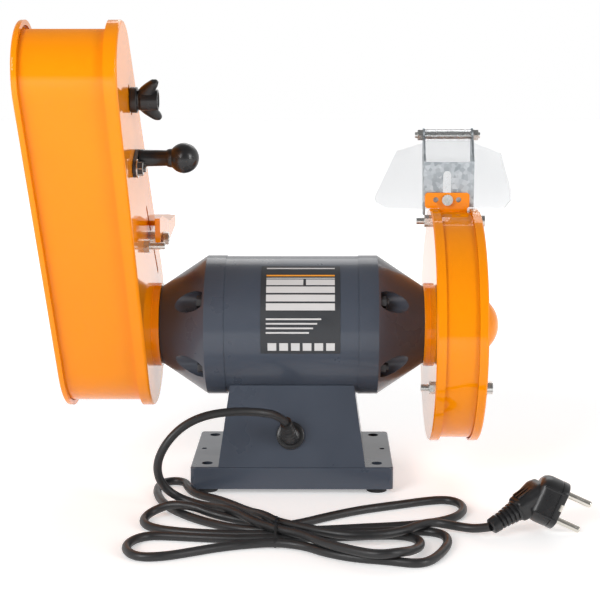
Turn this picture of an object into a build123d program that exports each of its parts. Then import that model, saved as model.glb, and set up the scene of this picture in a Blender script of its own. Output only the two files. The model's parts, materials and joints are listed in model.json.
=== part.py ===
from build123d import *
import math
import os

# Combined bench grinder: a 150 mm grinding wheel on one end of the motor shaft and a
# 50 x 686 mm belt grinder arm on the other.
# Frame: +X along the shaft towards the belt arm, +Z up, the operator stands at -Y,
# the floor is Z = 0.  Millimetres.

# ---------------------------------------------------------------- driving dimensions
AXIS_Z = 120.0          # shaft height above the floor
FIT = 0.05              # radial clearance of a running shaft in its bore
GAP = 0.3               # space between parts that move apart

FOOT_H = 4.0            # rubber feet below the base
BASE_HALF = 76.0        # half width of the base along X
BASE_REAR = 51.5        # half depth of the base along Y
BASE_TOP = 21.0
BASE_WALL = 3.0
BASE_DEPTH = 2 * BASE_REAR
BOLT_X = 64.0           # mounting holes, 128 x 80
BOLT_Y = 40.0
BOLT_R = 4.1
PIN_SPACING = 139.0     # small locating holes midway between them
PIN_HOLE_R = 2.0

PED_TOP = 80.0          # pedestal, a tapered hollow column
PED_LOW_HALF = 55.0
PED_HIGH_HALF = 46.6
PED_LOW_FRONT = -48.0
PED_HIGH_FRONT = -35.0
PED_HIGH_REAR = 35.0
PED_RISE = PED_TOP - BASE_TOP
REAR_SLOPE = (BASE_REAR - PED_HIGH_REAR) / PED_RISE
FRONT_SLOPE = (PED_HIGH_FRONT - PED_LOW_FRONT) / PED_RISE
SIDE_SLOPE = (PED_LOW_HALF - PED_HIGH_HALF) / PED_RISE

TUBE_R = 52.6           # motor tube
TUBE_BORE = 50.0
TUBE_HALF = 50.0
BAND_R = 53.2           # end shields: a band, then a cone
BAND_END = 64.5
CONE_END = 99.5
CONE_SMALL_R = 29.7
SHIELD_BORE = 10.0
TIE_R = 46.0            # tie bolts around the stator
TIE_ANGLES = (32, 148, 212, 328)
POCKET_R = 8.0
POCKET_FLOOR = 66.0

CORE_HALF = 30.0        # stator and rotor
STATOR_BORE = 28.0
ROTOR_R = 27.6
SHAFT_R = 9.0
SEAT_R = 7.5            # shaft at the bearings
END_R = 6.3             # shaft at the wheel and the belt drive
BEARING_IN = 84.5
BEARING_OUT = 95.5
BEARING_R = 17.5

WHEEL_R = 75.0          # 150 x 20 x 12.7 wheel
WHEEL_IN = 112.0
WHEEL_OUT = 132.0
WHEEL_SHOULDER = 106.5
GUARD_IN = 104.0
GUARD_OUT = 141.0
RIM_R = 89.0
DRUM_R = 86.5
SHEET = 1.5             # guard and arm sheet metal
GUARD_BOLT_R = 80.0
GUARD_BOLT_ANGLES = (90, 204, 336)
MOUTH_LOW = -15         # guard mouth, degrees above the front horizontal
MOUTH_HIGH = 60
MOUTH_R = 78.0

ARM_LEAN = 36.0         # belt arm leans back from vertical
ARM_LENGTH = 236.0      # shaft to idler
DRIVE_R = 45.0          # belt inside radii: 45 and 22.5 over 236 mm give 686 mm
IDLER_R = 22.5
BELT_IN = 116.5
BELT_WIDE = 50.0
ARM_IN = 105.3          # arm faces along X
ARM_BAND = 114.0
ARM_WALL_END = 168.0
ARM_OUT = 172.0
WALL_BIG_R = 58.0
WALL_TOP_R = 31.0
LIP_BIG_R = 62.0
LIP_TOP_R = 35.0

CORD_R = 3.1

SIN_LEAN = math.sin(math.radians(ARM_LEAN))
COS_LEAN = math.cos(math.radians(ARM_LEAN))

# ---------------------------------------------------------------- planes and helpers
SHAFT_AXIS = Axis((0, 0, AXIS_Z), (1, 0, 0))
SECTION = Plane(origin=(0, 0, AXIS_Z), x_dir=(1, 0, 0), z_dir=(0, -1, 0))
WHEEL_SECTION = Plane(origin=(0, 0, AXIS_Z), x_dir=(-1, 0, 0), z_dir=(0, 1, 0))
ARM_BACK = (0, COS_LEAN, -SIN_LEAN)
REAR_NORMAL = Vector(0, 1, REAR_SLOPE).normalized()
FRONT_NORMAL = Vector(0, -1, FRONT_SLOPE).normalized()


def across(x):
    """Plane square to the shaft at x, facing +X: local x is +Y, local y is +Z."""
    return Plane(origin=(x, 0, AXIS_Z), x_dir=(0, 1, 0), z_dir=(1, 0, 0))


def wheel_side(distance):
    """Plane square to the shaft on the wheel side, facing out: local x is the front."""
    return Plane(origin=(-distance, 0, AXIS_Z), x_dir=(0, -1, 0), z_dir=(-1, 0, 0))


def side_plane(side, distance):
    """Plane square to the shaft, facing away from the motor on either side."""
    return Plane(origin=(side * distance, 0, AXIS_Z), x_dir=(0, 1, 0), z_dir=(side, 0, 0))


def arm_plane(x):
    """Arm plane at x: local x runs up the arm, local y towards the operator."""
    return Plane(origin=(x, 0, AXIS_Z), x_dir=(0, SIN_LEAN, COS_LEAN), z_dir=(1, 0, 0))


def arm_point(x, along, front):
    """Point of the arm's own coordinates in the part's frame."""
    return arm_plane(x).from_local_coords(Vector(along, front, 0))


def save(piece, name):
    """Label a finished piece and write its STEP file."""
    piece.part.label = name
    export_step(piece.part, f"parts/{name}.step")


def stadium(big_r, top_r, length=ARM_LENGTH):
    """Two circles of different radius, a length apart, joined by their tangents."""
    turn = math.acos((big_r - top_r) / length)
    low = (big_r * math.cos(turn), big_r * math.sin(turn))
    high = (length + top_r * math.cos(turn), top_r * math.sin(turn))
    with BuildSketch(Plane.XY) as outline:
        with BuildLine():
            Line(low, high)
            ThreePointArc(high, (length + top_r, 0), (high[0], -high[1]))
            Line((high[0], -high[1]), (low[0], -low[1]))
            ThreePointArc((low[0], -low[1]), (-big_r, 0), low)
        make_face()
    return outline.sketch


def mouth_outline(distance):
    """Sector in front of the wheel that is open in the guard."""
    reach = 130.0
    corners = [(0, 0)]
    for angle in (MOUTH_LOW, (MOUTH_LOW + MOUTH_HIGH) / 2, MOUTH_HIGH):
        turn = math.radians(angle)
        corners.append((reach * math.cos(turn), reach * math.sin(turn)))
    with BuildSketch(wheel_side(distance)) as outline:
        with BuildLine():
            Polyline(*corners, close=True)
        make_face()
        Circle(MOUTH_R, mode=Mode.SUBTRACT)
    return outline.sketch


os.makedirs("parts", exist_ok=True)

# ================================================================ base and pedestal
BOSS_R = 8.0
GLAND_Z = 44.0
GLAND_Y = BASE_REAR - REAR_SLOPE * (GLAND_Z - BASE_TOP)
GLAND_PLANE = Plane(origin=(1, GLAND_Y, GLAND_Z), x_dir=(-1, 0, 0), z_dir=REAR_NORMAL)
GLAND_HOLE_R = 8.0
SWITCH_Z = 50.0
SWITCH_Y = PED_LOW_FRONT + FRONT_SLOPE * (SWITCH_Z - BASE_TOP)
SWITCH_PLANE = Plane(origin=(0, SWITCH_Y, SWITCH_Z), x_dir=(1, 0, 0), z_dir=FRONT_NORMAL)
HOLLOW_TOP = 62.0
HOLLOW_RISE = HOLLOW_TOP - BASE_TOP

with BuildPart() as base_pedestal:
    with BuildSketch(Plane.XY.offset(FOOT_H)):
        RectangleRounded(2 * BASE_HALF, BASE_DEPTH, 3)
    extrude(amount=BASE_TOP - FOOT_H)
    fillet(base_pedestal.faces().sort_by(Axis.Z)[-1].edges(), 1.2)
    with BuildSketch(Plane.XY.offset(BASE_TOP)):
        with Locations((0, (BASE_REAR + PED_LOW_FRONT) / 2)):
            Rectangle(2 * PED_LOW_HALF, BASE_REAR - PED_LOW_FRONT)
    with BuildSketch(Plane.XY.offset(PED_TOP)):
        with Locations((0, (PED_HIGH_REAR + PED_HIGH_FRONT) / 2)):
            Rectangle(2 * PED_HIGH_HALF, PED_HIGH_REAR - PED_HIGH_FRONT)
    loft()
    with BuildSketch(Plane.XY.offset(FOOT_H)):
        Rectangle(2 * (BASE_HALF - BASE_WALL), BASE_DEPTH - 2 * BASE_WALL)
    extrude(amount=BASE_TOP - FOOT_H - BASE_WALL, mode=Mode.SUBTRACT)
    with BuildSketch(Plane.XY.offset(BASE_TOP - BASE_WALL)):
        with Locations((0, (BASE_REAR + PED_LOW_FRONT) / 2)):
            Rectangle(2 * (PED_LOW_HALF - BASE_WALL), BASE_REAR - PED_LOW_FRONT - 2 * BASE_WALL)
    with BuildSketch(Plane.XY.offset(HOLLOW_TOP)):
        with Locations((0, (BASE_REAR + PED_LOW_FRONT + (FRONT_SLOPE - REAR_SLOPE) * HOLLOW_RISE) / 2)):
            Rectangle(
                2 * (PED_LOW_HALF - SIDE_SLOPE * HOLLOW_RISE - BASE_WALL),
                BASE_REAR - PED_LOW_FRONT - (REAR_SLOPE + FRONT_SLOPE) * HOLLOW_RISE - 2 * BASE_WALL,
            )
    loft(mode=Mode.SUBTRACT)
    with BuildSketch(across(-TUBE_HALF - 1)):
        Circle(TUBE_R)
    extrude(amount=2 * TUBE_HALF + 2, mode=Mode.SUBTRACT)
    with BuildSketch(Plane.XY.offset(FOOT_H)):
        with GridLocations(2 * BOLT_X, 2 * BOLT_Y, 2, 2):
            Circle(BOSS_R)
    extrude(amount=BASE_TOP - FOOT_H - 1)
    with BuildSketch(Plane.XY.offset(FOOT_H)):
        with GridLocations(2 * BOLT_X, 2 * BOLT_Y, 2, 2):
            Circle(BOLT_R)
        with GridLocations(PIN_SPACING, 1, 2, 1):
            Circle(PIN_HOLE_R)
    extrude(amount=BASE_TOP, mode=Mode.SUBTRACT)
    with BuildSketch(GLAND_PLANE.offset(-8)):
        Circle(GLAND_HOLE_R)
    extrude(amount=16, mode=Mode.SUBTRACT)
    with BuildSketch(SWITCH_PLANE.offset(-8)):
        Rectangle(22, 30)
    extrude(amount=16, mode=Mode.SUBTRACT)
    with BuildSketch(Plane.XY.offset(HOLLOW_TOP - 4)):
        Circle(5)
    extrude(amount=20, mode=Mode.SUBTRACT)
save(base_pedestal, "base_pedestal")

with BuildPart() as base_cover:
    with BuildSketch(Plane.XY.offset(FOOT_H)):
        Rectangle(2 * (BASE_HALF - BASE_WALL) - 0.4, BASE_DEPTH - 2 * BASE_WALL - 0.4)
        with GridLocations(2 * BASE_HALF, BASE_DEPTH, 2, 2):
            Rectangle(44, 44, mode=Mode.SUBTRACT)
        with GridLocations(12, 1, 7, 1):
            SlotOverall(24, 3, rotation=90, mode=Mode.SUBTRACT)
    extrude(amount=1.5)
save(base_cover, "base_cover")

with BuildPart() as rubber_feet:
    with BuildSketch(Plane.XY):
        with GridLocations(2 * BOLT_X, 2 * BOLT_Y, 2, 2):
            Circle(BOSS_R - 0.3)
            Circle(BOLT_R, mode=Mode.SUBTRACT)
    extrude(amount=FOOT_H)
save(rubber_feet, "rubber_feet")

with BuildPart() as capacitor:
    with BuildSketch(Plane(origin=(-28, 0, 34), x_dir=(0, 1, 0), z_dir=(1, 0, 0))):
        Circle(15.5)
    extrude(amount=56)
    fillet(capacitor.edges().filter_by(GeomType.CIRCLE), 1.5)
    with BuildSketch(Plane(origin=(28, 0, 34), x_dir=(0, 1, 0), z_dir=(1, 0, 0))):
        with GridLocations(10, 1, 2, 1):
            Rectangle(6.3, 0.8)
    extrude(amount=7)
save(capacitor, "capacitor")

# ================================================================ motor
with BuildPart() as motor_tube:
    with BuildSketch(across(-TUBE_HALF)):
        Circle(TUBE_R)
        Circle(TUBE_BORE, mode=Mode.SUBTRACT)
    extrude(amount=2 * TUBE_HALF)
    with BuildSketch(Plane.XY.offset(HOLLOW_TOP)):
        Circle(5)
    extrude(amount=20, mode=Mode.SUBTRACT)
save(motor_tube, "motor_tube")

with BuildPart() as stator_core:
    with BuildSketch(across(-CORE_HALF)):
        Circle(TUBE_BORE)
        Circle(STATOR_BORE, mode=Mode.SUBTRACT)
        with PolarLocations(34, 24):
            Rectangle(13, 3.6, mode=Mode.SUBTRACT)
        for angle in TIE_ANGLES:
            with PolarLocations(TIE_R, 1, start_angle=angle):
                Circle(2.8, mode=Mode.SUBTRACT)
    extrude(amount=2 * CORE_HALF)
save(stator_core, "stator_core")

with BuildPart() as stator_windings:
    for side in (1, -1):
        with BuildSketch(SECTION):
            with Locations((side * 37.2, 35.5)):
                RectangleRounded(14, 11, 4)
        revolve(axis=SHAFT_AXIS)
save(stator_windings, "stator_windings")

with BuildPart() as tie_bolts:
    for angle in TIE_ANGLES:
        with BuildSketch(across(-POCKET_FLOOR - 6)):
            with PolarLocations(TIE_R, 1, start_angle=angle):
                Circle(2.5)
        extrude(amount=2 * POCKET_FLOOR + 8)
        for head_x in (-POCKET_FLOOR - 4, POCKET_FLOOR):
            with BuildSketch(across(head_x)):
                with PolarLocations(TIE_R, 1, start_angle=angle):
                    RegularPolygon(4.6, 6)
            extrude(amount=4)
save(tie_bolts, "tie_bolts")


def cone_radius(x):
    """Outside radius of the end shield's cone at a distance x from the middle."""
    return BAND_R - (x - BAND_END) * (BAND_R - CONE_SMALL_R) / (CONE_END - BAND_END)


SHIELD_WALL = 4.0
CAVITY_END = 93.0


def shield_cavity(side):
    """Inside of an end shield, less the bosses that carry the tie bolts."""
    with BuildPart() as cavity:
        with BuildSketch(SECTION):
            with BuildLine():
                Polyline(
                    (side * 49, 0),
                    (side * BEARING_IN, 0),
                    (side * BEARING_IN, 21.5),
                    (side * CAVITY_END, 21.5),
                    (side * CAVITY_END, cone_radius(CAVITY_END) - SHIELD_WALL),
                    (side * BAND_END, BAND_R - SHIELD_WALL),
                    (side * 49, BAND_R - SHIELD_WALL),
                    close=True,
                )
            make_face()
        revolve(axis=SHAFT_AXIS)
        with BuildSketch(side_plane(side, 58)):
            for angle in TIE_ANGLES:
                with PolarLocations(TIE_R, 1, start_angle=angle):
                    Circle(POCKET_R + 2.5)
        extrude(amount=50, mode=Mode.SUBTRACT)
    return cavity.part


def end_shield(side, hub_end):
    """Cast end shield: band, cone, bearing seat, tie-bolt pockets and perhaps a hub."""
    cavity = shield_cavity(side)
    with BuildPart() as shield:
        with BuildSketch(SECTION):
            with BuildLine():
                Polyline(
                    (side * TUBE_HALF, 0),
                    (side * TUBE_HALF, BAND_R),
                    (side * BAND_END, BAND_R),
                    (side * CONE_END, CONE_SMALL_R),
                    (side * CONE_END, 0),
                    close=True,
                )
            make_face()
        revolve(axis=SHAFT_AXIS)
        if hub_end > CONE_END:
            with BuildSketch(side_plane(side, CONE_END)):
                Circle(HUB_R)
            extrude(amount=hub_end - CONE_END)
        add(cavity, mode=Mode.SUBTRACT)
        with BuildSketch(side_plane(side, TUBE_HALF)):
            Circle(SHIELD_BORE)
        extrude(amount=hub_end, mode=Mode.SUBTRACT)
        with BuildSketch(side_plane(side, TUBE_HALF)):
            Circle(BEARING_R)
        extrude(amount=BEARING_OUT - TUBE_HALF, mode=Mode.SUBTRACT)
        with BuildSketch(side_plane(side, POCKET_FLOOR)):
            for angle in TIE_ANGLES:
                with PolarLocations(TIE_R, 1, start_angle=angle):
                    Circle(POCKET_R)
        extrude(amount=50, mode=Mode.SUBTRACT)
        with BuildSketch(side_plane(side, TUBE_HALF)):
            for angle in TIE_ANGLES:
                with PolarLocations(TIE_R, 1, start_angle=angle):
                    Circle(2.6)
        extrude(amount=50, mode=Mode.SUBTRACT)
    return shield


HUB_R = 12.0
HUB_END = 104.0
end_shield_belt_side = end_shield(1, HUB_END)
save(end_shield_belt_side, "end_shield_belt_side")
end_shield_wheel_side = end_shield(-1, CONE_END)
save(end_shield_wheel_side, "end_shield_wheel_side")

PLATE_LEFT = 22.6       # blank rating plate on the rear of the tube
PLATE_WIDE = 58.6
PLATE_LOW = -13
PLATE_HIGH = 66
with BuildPart() as rating_plate:
    with BuildSketch(across(PLATE_LEFT - PLATE_WIDE)):
        with BuildLine():
            CenterArc((0, 0), TUBE_R, PLATE_LOW, PLATE_HIGH - PLATE_LOW)
            CenterArc((0, 0), TUBE_R + 0.4, PLATE_LOW, PLATE_HIGH - PLATE_LOW)
            for angle in (PLATE_LOW, PLATE_HIGH):
                turn = math.radians(angle)
                Line(
                    (TUBE_R * math.cos(turn), TUBE_R * math.sin(turn)),
                    ((TUBE_R + 0.4) * math.cos(turn), (TUBE_R + 0.4) * math.sin(turn)),
                )
        make_face()
    extrude(amount=PLATE_WIDE)
save(rating_plate, "rating_plate")

with BuildPart() as bearing_outer_rings:
    for x in (-BEARING_OUT, BEARING_IN):
        with BuildSketch(across(x)):
            Circle(BEARING_R)
            Circle(15, mode=Mode.SUBTRACT)
        extrude(amount=BEARING_OUT - BEARING_IN)
save(bearing_outer_rings, "bearing_outer_rings")

# ================================================================ rotor
WHEEL_SHAFT_END = 150.0
BELT_SHOULDER = 113.3
BELT_SHAFT_END = 160.0
with BuildPart() as rotor_shaft:
    with BuildSketch(SECTION):
        with BuildLine():
            Polyline(
                (-WHEEL_SHAFT_END, 0),
                (-WHEEL_SHAFT_END, END_R - 1),
                (1 - WHEEL_SHAFT_END, END_R),
                (-WHEEL_SHOULDER, END_R),
                (-WHEEL_SHOULDER, SEAT_R),
                (-BEARING_IN, SEAT_R),
                (-BEARING_IN, SHAFT_R),
                (BEARING_IN, SHAFT_R),
                (BEARING_IN, SEAT_R),
                (BELT_SHOULDER, SEAT_R),
                (BELT_SHOULDER, END_R),
                (BELT_SHAFT_END - 1, END_R),
                (BELT_SHAFT_END, END_R - 1),
                (BELT_SHAFT_END, 0),
                close=True,
            )
        make_face()
    revolve(axis=SHAFT_AXIS)
save(rotor_shaft, "rotor_shaft")

with BuildPart() as rotor_core:
    with BuildSketch(across(-CORE_HALF)):
        Circle(ROTOR_R)
        Circle(SHAFT_R, mode=Mode.SUBTRACT)
    extrude(amount=2 * CORE_HALF)
    for x in (-CORE_HALF - 6, CORE_HALF):
        with BuildSketch(across(x)):
            Circle(ROTOR_R - 1)
            Circle(19, mode=Mode.SUBTRACT)
        extrude(amount=6)
save(rotor_core, "rotor_core")

FAN_X = 46.5
with BuildPart() as cooling_fan:
    with BuildSketch(across(FAN_X)):
        Circle(33)
        Circle(SHAFT_R, mode=Mode.SUBTRACT)
    extrude(amount=2)
    with BuildSketch(across(FAN_X)):
        Circle(14)
        Circle(SHAFT_R, mode=Mode.SUBTRACT)
    extrude(amount=10)
    with BuildSketch(across(FAN_X + 2)):
        with PolarLocations(23, 9):
            Rectangle(19, 2)
    extrude(amount=8)
save(cooling_fan, "cooling_fan")

with BuildPart() as bearing_inner_rings:
    for x in (-BEARING_OUT, BEARING_IN):
        with BuildSketch(across(x)):
            Circle(10)
            Circle(SEAT_R, mode=Mode.SUBTRACT)
        extrude(amount=BEARING_OUT - BEARING_IN)
save(bearing_inner_rings, "bearing_inner_rings")

with BuildPart() as bearing_balls:
    middle = (BEARING_IN + BEARING_OUT) / 2
    for x in (-middle, middle):
        with Locations(across(x)):
            with PolarLocations(12.5, 8):
                Sphere(2.45)
save(bearing_balls, "bearing_balls")

FLANGE_R = 25.0
BLOTTER = 0.8
FLANGE_OUT = 137.8
with BuildPart() as grinding_wheel:
    with BuildSketch(wheel_side(WHEEL_IN)):
        Circle(WHEEL_R)
        Circle(END_R + FIT, mode=Mode.SUBTRACT)
    extrude(amount=WHEEL_OUT - WHEEL_IN)
save(grinding_wheel, "grinding_wheel")

with BuildPart() as wheel_blotters:
    for distance in (WHEEL_IN - BLOTTER, WHEEL_OUT):
        with BuildSketch(wheel_side(distance)):
            Circle(FLANGE_R + 1)
            Circle(END_R + 0.5, mode=Mode.SUBTRACT)
        extrude(amount=BLOTTER)
save(wheel_blotters, "wheel_blotters")

with BuildPart() as wheel_flanges:
    with BuildSketch(wheel_side(WHEEL_SHOULDER)):
        Circle(FLANGE_R)
        Circle(END_R + FIT, mode=Mode.SUBTRACT)
    extrude(amount=WHEEL_IN - BLOTTER - WHEEL_SHOULDER)
    with BuildSketch(wheel_side(WHEEL_OUT + BLOTTER)):
        Circle(FLANGE_R)
        Circle(END_R + FIT, mode=Mode.SUBTRACT)
    extrude(amount=FLANGE_OUT - WHEEL_OUT - BLOTTER)
save(wheel_flanges, "wheel_flanges")

with BuildPart() as wheel_nut:
    with BuildSketch(wheel_side(FLANGE_OUT)):
        RegularPolygon(10.9, 6)
        Circle(END_R, mode=Mode.SUBTRACT)
    extrude(amount=9)
save(wheel_nut, "wheel_nut")

DRIVE_IN = 115.0
DRIVE_WIDE = 52.0
with BuildPart() as drive_wheel:
    with BuildSketch(across(DRIVE_IN)):
        Circle(DRIVE_R - GAP)
        Circle(DRIVE_R - 6, mode=Mode.SUBTRACT)
    extrude(amount=DRIVE_WIDE)
    with BuildSketch(across(BELT_SHOULDER)):
        Circle(13)
        Circle(END_R + FIT, mode=Mode.SUBTRACT)
    extrude(amount=33)
    with BuildSketch(across(132)):
        Circle(DRIVE_R - 5)
        Circle(END_R + FIT, mode=Mode.SUBTRACT)
        with PolarLocations(27, 5):
            Circle(6, mode=Mode.SUBTRACT)
    extrude(amount=8)
save(drive_wheel, "drive_wheel")

with BuildPart() as drive_wheel_nut:
    with BuildSketch(across(BELT_SHOULDER + 33)):
        Circle(12)
        Circle(END_R, mode=Mode.SUBTRACT)
    extrude(amount=1.5)
    with BuildSketch(across(BELT_SHOULDER + 34.5)):
        RegularPolygon(10.9, 6)
        Circle(END_R, mode=Mode.SUBTRACT)
    extrude(amount=9)
save(drive_wheel_nut, "drive_wheel_nut")

# ================================================================ wheel guard
with BuildPart() as guard_inner_plate:
    with BuildSketch(WHEEL_SECTION):
        with BuildLine():
            Polyline(
                (CONE_END, 11),
                (CONE_END, 31),
                (CONE_END + 1, 32),
                (GUARD_IN, 32),
                (GUARD_IN, RIM_R - 1),
                (GUARD_IN + 1, RIM_R),
                (111, RIM_R),
                (111, RIM_R - SHEET),
                (GUARD_IN + SHEET, RIM_R - SHEET),
                (GUARD_IN + SHEET, 30.5),
                (CONE_END + SHEET, 30.5),
                (CONE_END + SHEET, 11),
                close=True,
            )
        make_face()
    revolve(axis=SHAFT_AXIS)
    with BuildSketch(wheel_side(CONE_END)):
        for angle in GUARD_BOLT_ANGLES:
            with PolarLocations(GUARD_BOLT_R, 1, start_angle=angle):
                Circle(2.7)
        with PolarLocations(21, 3):
            Circle(2.2)
    extrude(amount=20, mode=Mode.SUBTRACT)
    extrude(mouth_outline(CONE_END), amount=40, mode=Mode.SUBTRACT)
save(guard_inner_plate, "guard_inner_plate")

with BuildPart() as guard_drum:
    with BuildSketch(wheel_side(GUARD_IN + SHEET)):
        Circle(DRUM_R)
        Circle(DRUM_R - SHEET, mode=Mode.SUBTRACT)
    extrude(amount=GUARD_OUT - GUARD_IN - 2 * SHEET)
    extrude(mouth_outline(CONE_END), amount=60, mode=Mode.SUBTRACT)
save(guard_drum, "guard_drum")

DOME_R = 24.0
DOME_CENTRE = 134.0


def dome_arc(radius, start):
    """Points on the dome's section from its foot at a distance to its tip."""
    foot = math.acos((start - DOME_CENTRE) / radius)
    points = []
    for turn in (foot, foot / 2, 0):
        points.append((DOME_CENTRE + radius * math.cos(turn), radius * math.sin(turn)))
    return points


OUTER_DOME = dome_arc(DOME_R, GUARD_OUT)
INNER_DOME = dome_arc(DOME_R - SHEET, GUARD_OUT - SHEET)
with BuildPart() as guard_outer_cover:
    with BuildSketch(WHEEL_SECTION):
        with BuildLine():
            Polyline(
                INNER_DOME[0],
                (GUARD_OUT - SHEET, RIM_R - SHEET),
                (134.5, RIM_R - SHEET),
                (134.5, RIM_R),
                (GUARD_OUT - 1, RIM_R),
                (GUARD_OUT, RIM_R - 1),
                OUTER_DOME[0],
            )
            ThreePointArc(*OUTER_DOME)
            Line(OUTER_DOME[2], INNER_DOME[2])
            ThreePointArc(*INNER_DOME)
        make_face()
    revolve(axis=SHAFT_AXIS)
    with BuildSketch(wheel_side(GUARD_OUT - 3)):
        for angle in GUARD_BOLT_ANGLES:
            with PolarLocations(GUARD_BOLT_R, 1, start_angle=angle):
                Circle(2.7)
    extrude(amount=6, mode=Mode.SUBTRACT)
    extrude(mouth_outline(CONE_END), amount=60, mode=Mode.SUBTRACT)
save(guard_outer_cover, "guard_outer_cover")

with BuildPart() as guard_bolts:
    for angle in GUARD_BOLT_ANGLES:
        with BuildSketch(wheel_side(94)):
            with PolarLocations(GUARD_BOLT_R, 1, start_angle=angle):
                Circle(2.5)
        extrude(amount=GUARD_OUT - 94 + 1)
        with BuildSketch(wheel_side(GUARD_OUT)):
            with PolarLocations(GUARD_BOLT_R, 1, start_angle=angle):
                Circle(4.6)
        extrude(amount=3.6)
        with BuildSketch(wheel_side(GUARD_OUT + 3.6)):
            with PolarLocations(GUARD_BOLT_R, 1, start_angle=angle):
                Circle(4.6)
                Rectangle(1.2, 8, mode=Mode.SUBTRACT)
                Rectangle(8, 1.2, mode=Mode.SUBTRACT)
        extrude(amount=1)
save(guard_bolts, "guard_bolts")

with BuildPart() as guard_nuts:
    for angle in GUARD_BOLT_ANGLES:
        with BuildSketch(wheel_side(GUARD_IN - 4)):
            with PolarLocations(GUARD_BOLT_R, 1, start_angle=angle):
                RegularPolygon(4.6, 6)
                Circle(2.5, mode=Mode.SUBTRACT)
        extrude(amount=4)
save(guard_nuts, "guard_nuts")

# ---------------------------------------------------------------- eye shield on the guard
TAB_REAR = -10.0
TAB_FRONT = -12.0
TAB_LOW = 208.5
TAB_HIGH = 220.4
SCREW_X = -118.0
SCREW_Z = 215.0
with BuildPart() as shield_tab:
    with BuildSketch(Plane(origin=(SCREW_X, TAB_REAR, 0), x_dir=(1, 0, 0), z_dir=(0, -1, 0))):
        with Locations((0, (TAB_LOW + TAB_HIGH) / 2)):
            RectangleRounded(34, TAB_HIGH - TAB_LOW, 2.5)
        with Locations((-4.75, TAB_LOW - 1)):
            Rectangle(21.5, 7)
        with Locations((0, SCREW_Z)):
            Circle(2.6, mode=Mode.SUBTRACT)
        with Locations((-8.7, SCREW_Z), (8.7, SCREW_Z)):
            Circle(2, mode=Mode.SUBTRACT)
    extrude(amount=2)
    with BuildSketch(wheel_side(GUARD_IN)):
        Circle(DRUM_R)
    extrude(amount=GUARD_OUT - GUARD_IN, mode=Mode.SUBTRACT)
save(shield_tab, "shield_tab")

BRACKET_LEFT = -138.5
BRACKET_LOW = 209.2
BRACKET_RIGHT = -100.0
BRACKET_REAR = TAB_FRONT - GAP
HINGE_Y = -30.0
HINGE_Z = 263.0
BRACKET_MID = (BRACKET_LEFT + BRACKET_RIGHT) / 2
with BuildPart() as shield_bracket:
    with BuildSketch(Plane(origin=(BRACKET_MID, BRACKET_REAR, 0), x_dir=(1, 0, 0), z_dir=(0, -1, 0))):
        with Locations((0, (BRACKET_LOW + 243.5) / 2)):
            Rectangle(BRACKET_RIGHT - BRACKET_LEFT, 243.5 - BRACKET_LOW)
        with Locations((-122.75 - BRACKET_MID, BRACKET_LOW)):
            Rectangle(21.5, 6)
        with Locations((SCREW_X - BRACKET_MID, 222.1)):
            SlotOverall(29, 6.2, rotation=90, mode=Mode.SUBTRACT)
    extrude(amount=SHEET)
    for x, low in ((BRACKET_LEFT, BRACKET_LOW), (BRACKET_RIGHT - SHEET, 203)):
        with BuildSketch(Plane(origin=(x, 0, 0), x_dir=(0, 1, 0), z_dir=(1, 0, 0))):
            with BuildLine():
                Polyline(
                    (BRACKET_REAR, low),
                    (BRACKET_REAR, 244),
                    (HINGE_Y + 5.5, HINGE_Z),
                    (HINGE_Y - 5.5, HINGE_Z),
                    (BRACKET_REAR - 11, 214),
                    (BRACKET_REAR - 11, low),
                    close=True,
                )
            make_face()
            with Locations((HINGE_Y, HINGE_Z)):
                Circle(5.5)
                Circle(2.5, mode=Mode.SUBTRACT)
        extrude(amount=SHEET)
save(shield_bracket, "shield_bracket")

with BuildPart() as shield_hinge_bolt:
    with BuildSketch(Plane(origin=(-144, HINGE_Y, HINGE_Z), x_dir=(0, 1, 0), z_dir=(1, 0, 0))):
        Circle(2.5)
    extrude(amount=50)
    with BuildSketch(Plane(origin=(BRACKET_LEFT - 4, HINGE_Y, HINGE_Z), x_dir=(0, 1, 0), z_dir=(1, 0, 0))):
        RegularPolygon(4.6, 6)
    extrude(amount=4)
    with BuildSketch(Plane(origin=(BRACKET_RIGHT, HINGE_Y, HINGE_Z), x_dir=(0, 1, 0), z_dir=(1, 0, 0))):
        RegularPolygon(4.6, 6)
    extrude(amount=4)
save(shield_hinge_bolt, "shield_hinge_bolt")

PANE_REAR = HINGE_Y - 6.0       # face of the eye shield's centre pane
PANE_THICK = 2.0
PANE_LOW = 205.0
PANE_HIGH = 258.0
WING_BEND = 20.0
BEND_RIGHT = -101.6
BEND_LEFT = -140.5


def wing_plane(side, x):
    """Plane of an eye-shield wing, bent towards the operator; local x runs outwards."""
    turn = math.radians(WING_BEND)
    out = (side * math.cos(turn), -math.sin(turn), 0)
    normal = Vector(*out).cross(Vector(0, 0, 1))
    return Plane(origin=(x, PANE_REAR, 0), x_dir=out, z_dir=normal)


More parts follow.
